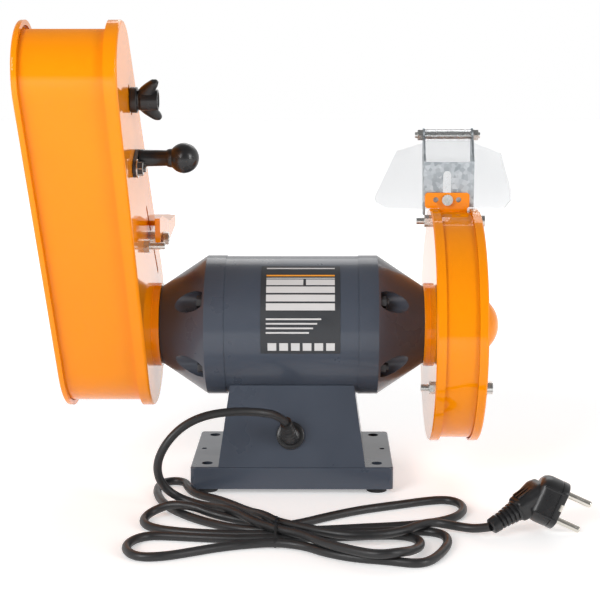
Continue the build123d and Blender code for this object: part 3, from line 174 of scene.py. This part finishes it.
def spread(tree, value, low, high, start=0.3, stop=0.7):
    """A texture's value turned into a range of numbers."""
    node = tree.nodes.new("ShaderNodeMapRange")
    node.inputs["From Min"].default_value = start
    node.inputs["From Max"].default_value = stop
    node.inputs["To Min"].default_value = low
    node.inputs["To Max"].default_value = high
    tree.links.new(value, node.inputs["Value"])
    return node.outputs["Result"]


def tint(tree, value, dark, light, start=0.3, stop=0.7):
    """A texture's value turned into a blend of two colours."""
    node = tree.nodes.new("ShaderNodeValToRGB")
    node.color_ramp.elements[0].position = start
    node.color_ramp.elements[1].position = stop
    node.color_ramp.elements[0].color = (*dark, 1)
    node.color_ramp.elements[1].color = (*light, 1)
    tree.links.new(value, node.inputs["Fac"])
    return node.outputs["Color"]


def bump(tree, shader, height, depth, under=None):
    """Relief of a given depth in metres, perhaps on top of another."""
    node = tree.nodes.new("ShaderNodeBump")
    node.inputs["Strength"].default_value = 1.0
    node.inputs["Distance"].default_value = depth
    tree.links.new(height, node.inputs["Height"])
    if under is not None:
        tree.links.new(under, node.inputs["Normal"])
    tree.links.new(node.outputs["Normal"], shader.inputs["Normal"])
    return node.outputs["Normal"]


def shade(color, factor):
    return tuple(min(1.0, channel * factor) for channel in color)


def surface(name, color, rough, metallic=0.0, coat=0.0, grain=900.0, depth=4e-6, mottle=18.0, contrast=0.08,
            stretch=(1, 1, 1)):
    """A finish with slow colour variation, uneven gloss and fine relief."""
    material, tree, shader = new_material(name)
    shader.inputs["Metallic"].default_value = metallic
    shader.inputs["Coat Weight"].default_value = coat
    shader.inputs["Specular IOR Level"].default_value = 0.5 - 0.5 * coat
    shader.inputs["Coat Roughness"].default_value = 0.05
    shader.inputs["Coat IOR"].default_value = 1.38
    color_out = tint(tree, noise(tree, mottle, 4), shade(color, 1 - contrast), shade(color, 1 + contrast))
    tree.links.new(color_out, shader.inputs["Base Color"])
    rough_out = spread(tree, noise(tree, mottle * 4, 5, stretch), rough * 0.85, rough * 1.2)
    tree.links.new(rough_out, shader.inputs["Roughness"])
    bump(tree, shader, noise(tree, grain, 2, stretch), depth)
    return material


def galvanised(name):
    """Zinc-coated sheet: large crystals of slightly different greys."""
    material, tree, shader = new_material(name)
    shader.inputs["Metallic"].default_value = 1.0
    crystal = cells(tree, 330, "Color")
    grey = tree.nodes.new("ShaderNodeSeparateColor")
    tree.links.new(crystal, grey.inputs["Color"])
    color_out = tint(tree, grey.outputs["Red"], (0.36, 0.40, 0.43), (0.60, 0.64, 0.67), 0.0, 1.0)
    tree.links.new(color_out, shader.inputs["Base Color"])
    tree.links.new(spread(tree, grey.outputs["Green"], 0.38, 0.58, 0.0, 1.0), shader.inputs["Roughness"])
    bump(tree, shader, noise(tree, 700, 3), 6e-6)
    return material


def grit(name, dark, light, scale, depth, rough):
    """Abrasive grains held in a bond."""
    material, tree, shader = new_material(name)
    grains = cells(tree, scale, "Color")
    value = tree.nodes.new("ShaderNodeSeparateColor")
    tree.links.new(grains, value.inputs["Color"])
    tree.links.new(tint(tree, value.outputs["Blue"], dark, light, 0.1, 0.9), shader.inputs["Base Color"])
    shader.inputs["Roughness"].default_value = rough
    bump(tree, shader, cells(tree, scale), depth)
    return material


def clear_plastic(name, color):
    """Polycarbonate sheet with faint scuffs."""
    material, tree, shader = new_material(name)
    shader.inputs["Base Color"].default_value = (*color, 1)
    shader.inputs["Transmission Weight"].default_value = 0.93
    shader.inputs["IOR"].default_value = 1.5
    tree.links.new(spread(tree, noise(tree, 60, 6), 0.03, 0.16), shader.inputs["Roughness"])
    bump(tree, shader, noise(tree, 45, 1), 2e-5)
    return material


MATERIALS = {
    "grey_paint": surface("grey_paint", (0.056, 0.068, 0.092), 0.30, coat=0.3, grain=420, depth=6e-6,
                          mottle=9),
    "orange_paint": surface("orange_paint", (0.88, 0.262, 0.001), 0.36, coat=1.0, grain=300, depth=3e-6,
                            contrast=0.02),
    "black_steel": surface("black_steel", (0.03, 0.03, 0.033), 0.45, grain=800, depth=8e-6),
    "rubber": surface("rubber", (0.02, 0.02, 0.021), 0.7, grain=700, depth=2e-5),
    "capacitor_case": surface("capacitor_case", (0.72, 0.72, 0.69), 0.5),
    "laminated_steel": surface("laminated_steel", (0.2, 0.2, 0.22), 0.45, metallic=1.0, grain=900, depth=4e-5,
                               stretch=(1, 0.02, 0.02)),
    "copper": surface("copper", (0.55, 0.2, 0.08), 0.35, metallic=1.0, grain=600, depth=1e-4,
                      stretch=(1, 0.1, 0.1)),
    "zinc_fasteners": surface("zinc_fasteners", (0.66, 0.66, 0.64), 0.28, metallic=1.0, grain=1500,
                              depth=6e-6, mottle=120, contrast=0.12),
    "label": surface("label", (0.028, 0.031, 0.036), 0.42, grain=1200, depth=3e-6),
    "steel": surface("steel", (0.52, 0.52, 0.53), 0.3, metallic=1.0, grain=1400, depth=6e-6,
                     stretch=(0.15, 1, 1)),
    "galvanised_sheet": galvanised("galvanised_sheet"),
    "black_plastic": surface("black_plastic", (0.013, 0.013, 0.014), 0.3, coat=0.1, grain=900, depth=6e-6),
    "cord_jacket": surface("cord_jacket", (0.016, 0.016, 0.017), 0.42, grain=1100, depth=1.2e-5, mottle=40,
                           contrast=0.15),
    "nickel_pins": surface("nickel_pins", (0.72, 0.69, 0.63), 0.18, metallic=1.0, grain=1600, depth=4e-6),
    "grinding_stone": grit("grinding_stone", (0.17, 0.17, 0.175), (0.42, 0.42, 0.43), 1400, 2.5e-4, 0.9),
    "blotter_paper": surface("blotter_paper", (0.55, 0.45, 0.3), 0.85, grain=1800, depth=4e-5),
    "aluminium_wheel": surface("aluminium_wheel", (0.7, 0.7, 0.71), 0.33, metallic=1.0, grain=900, depth=1e-5,
                               stretch=(1, 0.1, 0.1)),
    "abrasive_cloth": grit("abrasive_cloth", (0.10, 0.035, 0.02), (0.34, 0.15, 0.08), 2600, 1.2e-4, 0.85),
    "clear_plastic": clear_plastic("clear_plastic", (0.83, 0.84, 0.85)),
    "green_plastic": surface("green_plastic", (0.015, 0.32, 0.07), 0.3, coat=0.1),
    "red_plastic": surface("red_plastic", (0.6, 0.012, 0.012), 0.3, coat=0.1),
}


# painted shade: a dark grey tint on the shield's edge faces stands in for the dark rims that refraction gives
# clear plastic
SHEET_EDGE_PAINTED_SHADE = clear_plastic("clear_plastic_edge_painted_shade", (0.22, 0.24, 0.26))


def print_material(name, color):
    """Printed fields on the rating plate."""
    return surface(name, color, 0.45, grain=1500, depth=2e-6, contrast=0.03)


# ---------------------------------------------------------------- mesh tools
def finish_piece(piece, material_slot, body="frame", replaced=(), material=None):
    """Material of a record slot, smooth shading and body of a new piece."""
    piece.data.materials.append(material or MATERIALS[material_slot])
    if piece.type == "MESH":
        for face in piece.data.polygons:
            face.use_smooth = True
        piece.data.set_sharp_from_angle(angle=math.radians(38))
    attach(piece, body)
    if replaced:
        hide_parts(*replaced)
    return piece


def mesh_object(name, shells):
    """One object from lists of rings of points in millimetres; each list is a closed loft."""
    build = bmesh.new()
    for rings in shells:
        made = [[build.verts.new(Vector(point) * MM) for point in ring] for ring in rings]
        for low, high in zip(made, made[1:]):
            count = len(low)
            for i in range(count):
                build.faces.new((low[i], low[(i + 1) % count], high[(i + 1) % count], high[i]))
        build.faces.new(list(reversed(made[0])))
        build.faces.new(made[-1])
    bmesh.ops.recalc_face_normals(build, faces=build.faces)
    mesh = bpy.data.meshes.new(name)
    build.to_mesh(mesh)
    build.free()
    piece = bpy.data.objects.new(name, mesh)
    bpy.context.scene.collection.objects.link(piece)
    return piece


def across_axes(axis, hint=UP):
    """Two directions square to an axis."""
    side = axis.cross(hint).normalized()
    return side, side.cross(axis).normalized()


def ring(centre, side, up, radius, steps=40):
    return [
        centre + side * (radius * math.cos(turn)) + up * (radius * math.sin(turn))
        for turn in (2 * math.pi * step / steps for step in range(steps))
    ]


def lathe_rings(origin, axis, profile, steps=40):
    """Rings of a turned shape; the profile is (distance along the axis, radius)."""
    axis = Vector(axis).normalized()
    side, up = across_axes(axis, UP if abs(axis.z) < 0.9 else SHAFT)
    return [ring(Vector(origin) + axis * along, side, up, radius, steps) for along, radius in profile]


def rounded(outline, radius, steps=4):
    """Profile corners turned into small arcs; the ends stay."""
    points = [Vector((*outline[0], 0))]
    for before, corner, after in zip(outline, outline[1:], outline[2:]):
        before, corner, after = (Vector((*p, 0)) for p in (before, corner, after))
        reach = min(radius, (before - corner).length / 2, (after - corner).length / 2)
        start = corner + (before - corner).normalized() * reach
        stop = corner + (after - corner).normalized() * reach
        for step in range(steps + 1):
            t = step / steps
            points.append(start * (1 - t) ** 2 + corner * (2 * t * (1 - t)) + stop * t**2)
    points.append(Vector((*outline[-1], 0)))
    return [(point.x, point.y) for point in points]


def arm_point(x, along, front):
    """Point of the arm's own coordinates, in millimetres."""
    return Vector((x, 0, AXIS_Z)) + ARM_UP * along + ARM_FRONT * front


# ---------------------------------------------------------------- mains cord
CORD_R = 3.1
TIE_X = 8.5
LEAD_ROUTE = [
    (4, 60, 58), (9, 69, 65.5), (20, 77, 70), (39, 83, 72.5), (60, 88, 71), (76, 92, 64.5), (88, 95.5, 53),
    (95, 95, 39), (95.5, 90.5, 26), (90.5, 86, 15), (81.5, 84, 8),
]
# From the lead's landing into the tie, then loop by loop; each stretch ends in the tie.
HANK_ROUTE = [
    (69, 88, 4.6), (57, 97.5, 5.5), (46, 110, 9), (35, 124, 9.8), (24, 141, 9.6), (TIE_X, 155.75, 9.2),
    # long loop on the wheel side, lying on the others
    (-10, 166, 9.4), (-24, 184, 9.3), (-45, 199, 9.3), (-59, 206, 9.6), (-73, 203, 10.2), (-82, 190, 6.5),
    (-89, 172, 3.5), (-88, 159, 3.1), (-78, 150.5, 3.1), (-60, 150.5, 3.1), (-36, 154, 3.1),
    (TIE_X, 159.5, 4),
    # near loop on the belt side
    (32, 159, 3.1), (49, 157.5, 3.1), (67, 155, 3.1), (84, 152.5, 3.1), (96, 152.5, 3.1), (105, 161, 3.1),
    (108, 175, 3.1), (103, 188, 3.1), (94, 194, 3.1), (79.5, 192, 3.1), (63, 184, 3.1), (48, 176, 3.1),
    (31.5, 170, 3.1), (TIE_X, 167, 4),
    # near loop on the wheel side
    (-12, 172, 3.1), (-24, 184, 3.1), (-44, 194.5, 3.1), (-66, 199, 3.1), (-83, 205, 3.1), (-93, 200, 3.1),
    (-102, 183, 3.1), (-108, 164, 3.1), (-106, 148, 3.1), (-92, 141, 3.1), (-65, 142.5, 3.1),
    (-30, 147.5, 3.1),
    (TIE_X, 152, 4),
    # middle loop on the belt side, over the far loop's strand
    (34, 150, 3.1), (60, 147.5, 3.1), (79, 143.5, 3.1), (92, 138, 3.1), (101, 129, 3.1), (103, 116, 3.1),
    (98, 106, 5), (85, 103.5, 9.6), (68, 109.5, 9.8), (56, 113.5, 6), (35, 120, 3.1), (TIE_X, 137, 4),
    # far loop on the wheel side
    (-7, 127, 3.1), (-28, 111, 3.1), (-50, 97, 3.1), (-76, 86, 3.1), (-104, 74, 3.1), (-117, 74, 3.1),
    (-124, 83, 3.1), (-124.4, 99, 3.1), (-116, 114.6, 3.1), (-98, 126, 3.1), (-76, 132, 3.1), (-49, 136, 3.1),
    (-20, 141, 3.1), (TIE_X, 144.5, 4),
    # far loop on the belt side
    (34, 140, 3.1), (63, 121, 3.1), (82.6, 100, 3.1), (93, 82, 3.1), (99.6, 62, 3.1), (101.5, 45, 3.1),
    (99, 32, 3.1), (90, 27, 3.1), (81, 32, 3.1), (78.5, 46, 3.1), (70, 62, 3.1), (50, 76, 3.1), (29, 107, 5),
    (18, 126, 9.4),
    (TIE_X, 140.75, 9.2),
    # last strand, over the wheel side's loops
    (-8, 152, 9.5), (-28, 164, 9.3), (-45, 169, 9.3), (-63, 167, 9.3), (-78, 159, 9.3), (-88.5, 148, 9.6),
]
TAIL_ROUTE = [(-99, 137.5, 8), (-109.5, 135, 5.4), (-120, 136.8, 4), (-129.5, 141.5, 4.6), (-138, 147, 8)]


def add_cord():
    """The mains cord as one smooth line from the gland to the plug."""
    route = LEAD_ROUTE + HANK_ROUTE + TAIL_ROUTE
    curve = bpy.data.curves.new("mains_cord", "CURVE")
    curve.dimensions = "3D"
    curve.bevel_depth = CORD_R * MM
    curve.bevel_resolution = 5
    curve.use_fill_caps = True
    spline = curve.splines.new("NURBS")
    spline.points.add(len(route) - 1)
    for point, place in zip(spline.points, route):
        point.co = (*(Vector(place) * MM), 1)
    spline.order_u = 3
    spline.use_endpoint_u = True
    spline.resolution_u = 10
    piece = bpy.data.objects.new("mains_cord", curve)
    bpy.context.scene.collection.objects.link(piece)
    return finish_piece(piece, "cord_jacket", replaced=("cord_lead", "cord_hank", "cord_tail"))


def add_tie():
    """Thin band drawn round the strands of the hank."""
    strands = [(137, 4), (144.5, 4), (152, 4), (159.5, 4), (167, 4), (140.75, 9.2), (155.75, 9.2)]
    inside = CORD_R + 0.15
    outside = inside + 0.75

    def hull(turn, reach):
        out = (math.cos(turn), math.sin(turn))
        place = max(strands, key=lambda s: s[0] * out[0] + s[1] * out[1])
        return place[0] + reach * out[0], max(0.05, place[1] + reach * out[1])

    rings = []
    steps = 96
    half_wide = 0.8
    for step in range(steps):
        turn = 2 * math.pi * step / steps
        low, high = hull(turn, inside), hull(turn, outside)
        rings.append([
            Vector((TIE_X - half_wide, *low)), Vector((TIE_X + half_wide, *low)),
            Vector((TIE_X + half_wide, *high)), Vector((TIE_X - half_wide, *high)),
        ])
    build = bmesh.new()
    made = [[build.verts.new(point * MM) for point in section] for section in rings]
    for low, high in zip(made, made[1:] + made[:1]):
        for i in range(4):
            build.faces.new((low[i], low[(i + 1) % 4], high[(i + 1) % 4], high[i]))
    bmesh.ops.recalc_face_normals(build, faces=build.faces)
    mesh = bpy.data.meshes.new("hank_tie")
    build.to_mesh(mesh)
    build.free()
    piece = bpy.data.objects.new("hank_tie", mesh)
    bpy.context.scene.collection.objects.link(piece)
    return finish_piece(piece, "black_plastic", replaced=("cord_tie",))


def add_gland():
    """Strain relief: a flange on the pedestal and a ribbed sleeve that bends to the cord."""
    base = Vector((1, 45.07, 44))
    normal = Vector((0, 1, 16.5 / 59)).normalized()
    tip = Vector(LEAD_ROUTE[0])
    aim = (Vector(LEAD_ROUTE[1]) - tip).normalized()
    side, up = across_axes(normal)
    flange = [
        ring(base + normal * along, side, up, radius)
        for along, radius in rounded([(-3, 7.6), (0.1, 7.6), (0.1, 10.5), (2.6, 10.5), (3.2, 7.9)], 0.8)
    ]
    sleeve = []
    steps = 44
    reach = 10.5
    start = base + normal * 2.5
    for step in range(steps + 1):
        t = step / steps
        centre = start * (1 - t) ** 2 + (start + normal * reach) * (2 * t * (1 - t)) + tip * t**2
        direction = normal.lerp(aim, t).normalized()
        side, up = across_axes(direction)
        rib = 0.55 if 0.22 < t < 0.9 and (step // 3) % 2 else 0.0
        sleeve.append(ring(centre, side, up, 7.4 - 2.9 * t - rib))
    piece = mesh_object("cord_boot", [flange, sleeve])
    return finish_piece(piece, "black_plastic", replaced=("cord_gland",))


# ---------------------------------------------------------------- mains plug
PIN_AXIS = Vector((-0.91, 0.10, -0.40)).normalized()
PLUG_FACE = Vector((-187, 134, 18.2))
PIN_SPREAD = Vector((0.39, 0.15, -0.91))
PIN_SPREAD = (PIN_SPREAD - PIN_AXIS * PIN_SPREAD.dot(PIN_AXIS)).normalized()
PLUG_SIDE = PIN_AXIS.cross(PIN_SPREAD)
HEAD_R = 17.0
HEAD_FLAT = 13.0


def head_ring(along, scale, steps=64):
    """Section of the plug's head: a round with two flats."""
    centre = PLUG_FACE + PIN_AXIS * along
    points = []
    for step in range(steps):
        turn = 2 * math.pi * step / steps
        wide = HEAD_R * math.cos(turn)
        flat = max(-HEAD_FLAT, min(HEAD_FLAT, HEAD_R * math.sin(turn)))
        points.append(centre + PIN_SPREAD * (wide * scale) + PLUG_SIDE * (flat * scale))
    return points


def squarish_ring(centre, side, up, radius, steps=48):
    """Section between a round and a square, for the plug's neck."""
    points = []
    for step in range(steps):
        turn = 2 * math.pi * step / steps
        reach = radius * (1 + 0.16 * math.sin(2 * turn) ** 2) * 0.96
        points.append(centre + side * (reach * math.cos(turn)) + up * (reach * math.sin(turn)))
    return points


def add_plug():
    """Moulded two-pin plug with ridged flats, a slotted strain relief and earth contacts at the face."""
    head = [
        head_ring(along, scale)
        for along, scale in (
            (-2.6, 0.74), (-0.4, 0.76), (-0.2, 0.78), (0.0, 0.80), (0.0, 0.95), (-0.25, 0.98), (-0.9, 1.0),
            (-4.6, 1.0), (-4.9, 0.965), (-5.5, 0.965), (-5.8, 1.0), (-13.5, 1.0), (-16.0, 0.97),
            (-18.2, 0.90),
            (-19.6, 0.78), (-20.0, 0.66),
        )
    ]
    relief_end = Vector(TAIL_ROUTE[-1])
    head_back = PLUG_FACE - PIN_AXIS * 17
    axis = (head_back - relief_end).normalized()
    length = (head_back - relief_end).length
    side, up = across_axes(axis)
    neck = []
    outline = [(21.5, 7.2), (22.5, 8.4), (30, 9.2), (length, 11.4), (length + 5, 10.4)]
    for along, radius in rounded(outline, 2):
        neck.append(squarish_ring(relief_end + axis * along, side, up, radius))
    relief = [
        ring(relief_end + axis * along, side, up, radius)
        for along, radius in ((-0.2, 3.4), (0, 4.7), (0.5, 5.4), (1.2, 5.6), (5.6, 5.9), (6.0, 5.6))
    ]
    rib_pitch = 3.2
    for rib in range(5):
        low = 6.0 + rib * rib_pitch
        wide = 5.5 + 0.42 * rib
        for along, radius in ((0.1, wide - 1.3), (1.2, wide - 1.2), (1.3, wide), (1.5, wide + 0.3),
                              (2.9, wide + 0.4), (3.1, wide + 0.2)):
            relief.append(ring(relief_end + axis * (low + along), side, up, radius))
    relief.append(ring(relief_end + axis * 23, side, up, 6.6))
    grip = []
    for hand in (-1, 1):
        for row in (-1, 1):
            middle = PLUG_FACE + PIN_SPREAD * (row * 9.3) + PLUG_SIDE * (hand * HEAD_FLAT)
            grip.append([
                [middle + PIN_SPREAD * (x * wide) + PLUG_SIDE * (hand * lift) - PIN_AXIS * along
                 for x, along in ((-1, 1.2), (1, 1.2), (1, 17), (-1, 17))]
                for lift, wide in ((-0.5, 0.8), (0.3, 0.8), (0.6, 0.4))
            ])
    for row in (-1, 0, 1):
        middle = relief_end + side * (row * 3.2) + up * 8
        grip.append([
            [middle + side * (x * 0.7) + up * (lift + along / 20) + axis * along
             for x, along in ((-1, 25), (1, 25), (1, length - 1), (-1, length - 1))]
            for lift in (-1.5, 0.4)
        ])
    piece = mesh_object("plug_moulding", [head, neck, relief] + grip)
    finish_piece(piece, "black_plastic", replaced=("plug_body",))
    contacts = []
    for hand in (-1, 1):
        rings = []
        for along, lift in ((-2.4, 0.3), (-0.8, 0.4), (-0.2, 0.2), (0.3, -1.2), (0.3, -3.2)):
            centre = PLUG_FACE + PIN_AXIS * along + PLUG_SIDE * (hand * (HEAD_FLAT + lift - 0.35))
            rings.append([
                centre + PIN_SPREAD * x + PLUG_SIDE * (hand * y)
                for x, y in ((-2.4, -0.4), (2.4, -0.4), (2.4, 0.4), (-2.4, 0.4))
            ])
        contacts.append(rings)
    earth = mesh_object("plug_earth_contacts", contacts)
    finish_piece(earth, "nickel_pins")
    return piece, earth


# ---------------------------------------------------------------- handles on the arm
def add_ball_grip():
    """Ball grip with a tapered neck on the tension lever."""
    origin = arm_point(0, 164.5, 2)
    ball_x, ball_r = 72.0, 10.35
    profile = [
        (102.5, 3.2), (102.5, 5.6), (102, 6.1), (100, 6.1), (99.3, 5.8), (84, 5.35), (83.1, 6.0), (82.1, 6.3),
    ]
    start = math.asin(6.5 / ball_r)
    for step in range(15):
        turn = start + (math.pi - start) * step / 14.2
        seam = 0.12 if step == 5 else 0
        profile.append((ball_x + ball_r * math.cos(turn), ball_r * math.sin(turn) + seam))
    rings = lathe_rings(origin, SHAFT, profile, 48)
    piece = mesh_object("ball_grip", [rings])
    return finish_piece(piece, "black_plastic", "tension_handle", ("lever_grip",))


def add_knob():
    """Wing knob that sets the belt's tracking."""
    origin = arm_point(0, 208, 10)
    hub = lathe_rings(origin, SHAFT, rounded([
        (107, 2.9), (104.9, 2.9), (104.9, 8.6), (100.4, 8.6), (99.8, 6.8), (98.6, 6.8), (98, 7.4),
        (86.5, 6.9),
        (86.5, 5.2), (87.7, 5.0), (87.7, 0.3),
    ], 0.5), 48)
    shells = [hub]
    for hand in (-1, 1):
        wing = []
        for reach, low, high, thick in (
            (4.0, 88.5, 100.5, 3.4), (7.5, 88.0, 99.4, 3.3), (10.0, 86.8, 97.2, 3.2), (12.4, 85.6, 94.4, 3.1),
            (14.2, 85.2, 92.0, 2.9), (15.4, 86.0, 90.4, 2.2), (15.8, 87.2, 89.2, 1.2),
        ):
            middle, half = (low + high) / 2, (high - low) / 2
            section = []
            for step in range(20):
                turn = 2 * math.pi * step / 20
                flat = math.copysign(abs(math.cos(turn)) ** 0.6, math.cos(turn))
                round_side = math.copysign(abs(math.sin(turn)) ** 0.8, math.sin(turn))
                place = SHAFT * (middle + half * flat) + ARM_UP * (hand * reach)
                section.append(origin + place + ARM_FRONT * (thick * round_side))
            wing.append(section)
        shells.append(wing)
    piece = mesh_object("wing_knob", shells)
    return finish_piece(piece, "black_plastic", "tracking", ("tracking_knob",))


def add_lever_nut():
    """Nut, washer and stud end that hold the tension lever."""
    origin = arm_point(0, 167, -12)
    nut = [lathe_rings(origin, SHAFT, [(102.5, 5.0), (98.8, 5.0), (98.2, 4.4), (98.1, 1.0)], 6)]
    washer = [lathe_rings(origin, SHAFT, [(102.6, 6.4), (101.8, 6.4), (101.7, 3.0)], 32)]
    stud = [lathe_rings(origin, SHAFT, [(99.0, 2.5), (96.6, 2.5), (96.4, 2.2), (96.4, 0.3)], 24)]
    piece = mesh_object("lever_nut", nut + washer + stud)
    return finish_piece(piece, "zinc_fasteners", "tension_handle")


# ---------------------------------------------------------------- rating plate
def curved_strip(radius, x_low, x_high, turn_low, turn_high, thick=0.12):
    """Thin strip lying on the motor tube; the turns are degrees above the rear horizontal."""
    rings = []
    steps = max(2, round((turn_high - turn_low) / 3))
    for step in range(steps + 1):
        turn = math.radians(turn_low + (turn_high - turn_low) * step / steps)
        out = Vector((0, math.cos(turn), math.sin(turn)))
        foot = Vector((0, 0, AXIS_Z)) + out * radius
        top = foot + out * thick
        rings.append([
            foot + SHAFT * x_low, foot + SHAFT * x_high, top + SHAFT * x_high, top + SHAFT * x_low
        ])
    return rings


def add_print():
    """Blank fields, rules and a border line on the rating plate."""
    low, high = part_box("rating_plate")
    left, right = low.x / MM, high.x / MM
    radius = 53.02
    light = [curved_strip(radius, left + 4, right - 4, *turns) for turns in ((62.0, 63.4), (50.6, 51.4))]
    middle = (left + right) / 2 - 3
    light.append(curved_strip(radius, middle + 1, right - 4, 44, 49.6))
    light.append(curved_strip(radius, left + 4, middle - 1, 44, 49.6))
    for row in range(3):
        top = 42.6 - row * 7.4
        light.append(curved_strip(radius, left + 4, right - 4, top - 5.8, top))
    for row in range(4):
        top = 15.6 - row * 3.6
        light.append(curved_strip(radius, left + 14 + 3 * row, right - 4, top - 1.3, top))
    for column in range(6):
        start = left + 4 + column * 8.6
        light.append(curved_strip(radius, start, start + 6.4, -10.5, -4.2))
    fields = mesh_object("plate_fields", light)
    finish_piece(fields, "label", material=print_material("plate_white", (0.58, 0.58, 0.58)))
    rule = mesh_object("plate_rule", [curved_strip(radius, left + 4, right - 4, 53.2, 54.6)])
    finish_piece(rule, "label", material=print_material("plate_orange", (0.9, 0.36, 0.02)))


# ---------------------------------------------------------------- the whole object
def dress_cad_nodes():
    """Every CAD node takes the finish of its record slot."""
    slots = {row["node"]: row["material_slot"] for row in frame["record"]["subparts"]}
    for name, node in frame["nodes"].items():
        node.data.materials.clear()
        node.data.materials.append(MATERIALS[slots[name]])
    sheet = frame["nodes"]["eye_shield"].data
    sheet.materials.append(SHEET_EDGE_PAINTED_SHADE)
    # painted shade: side-facing faces of the sheet below 258.5 mm take the dark edge tint
    for face in sheet.polygons:
        if abs(face.normal.y) < 0.5 and face.center.z < 0.2585:
            face.material_index = 1


add_camera()
cord = add_cord()
add_tie()
gland = add_gland()
plug, earth = add_plug()
dress_cad_nodes()
add_ball_grip()
add_knob()
add_lever_nut()
add_print()
add_studio()
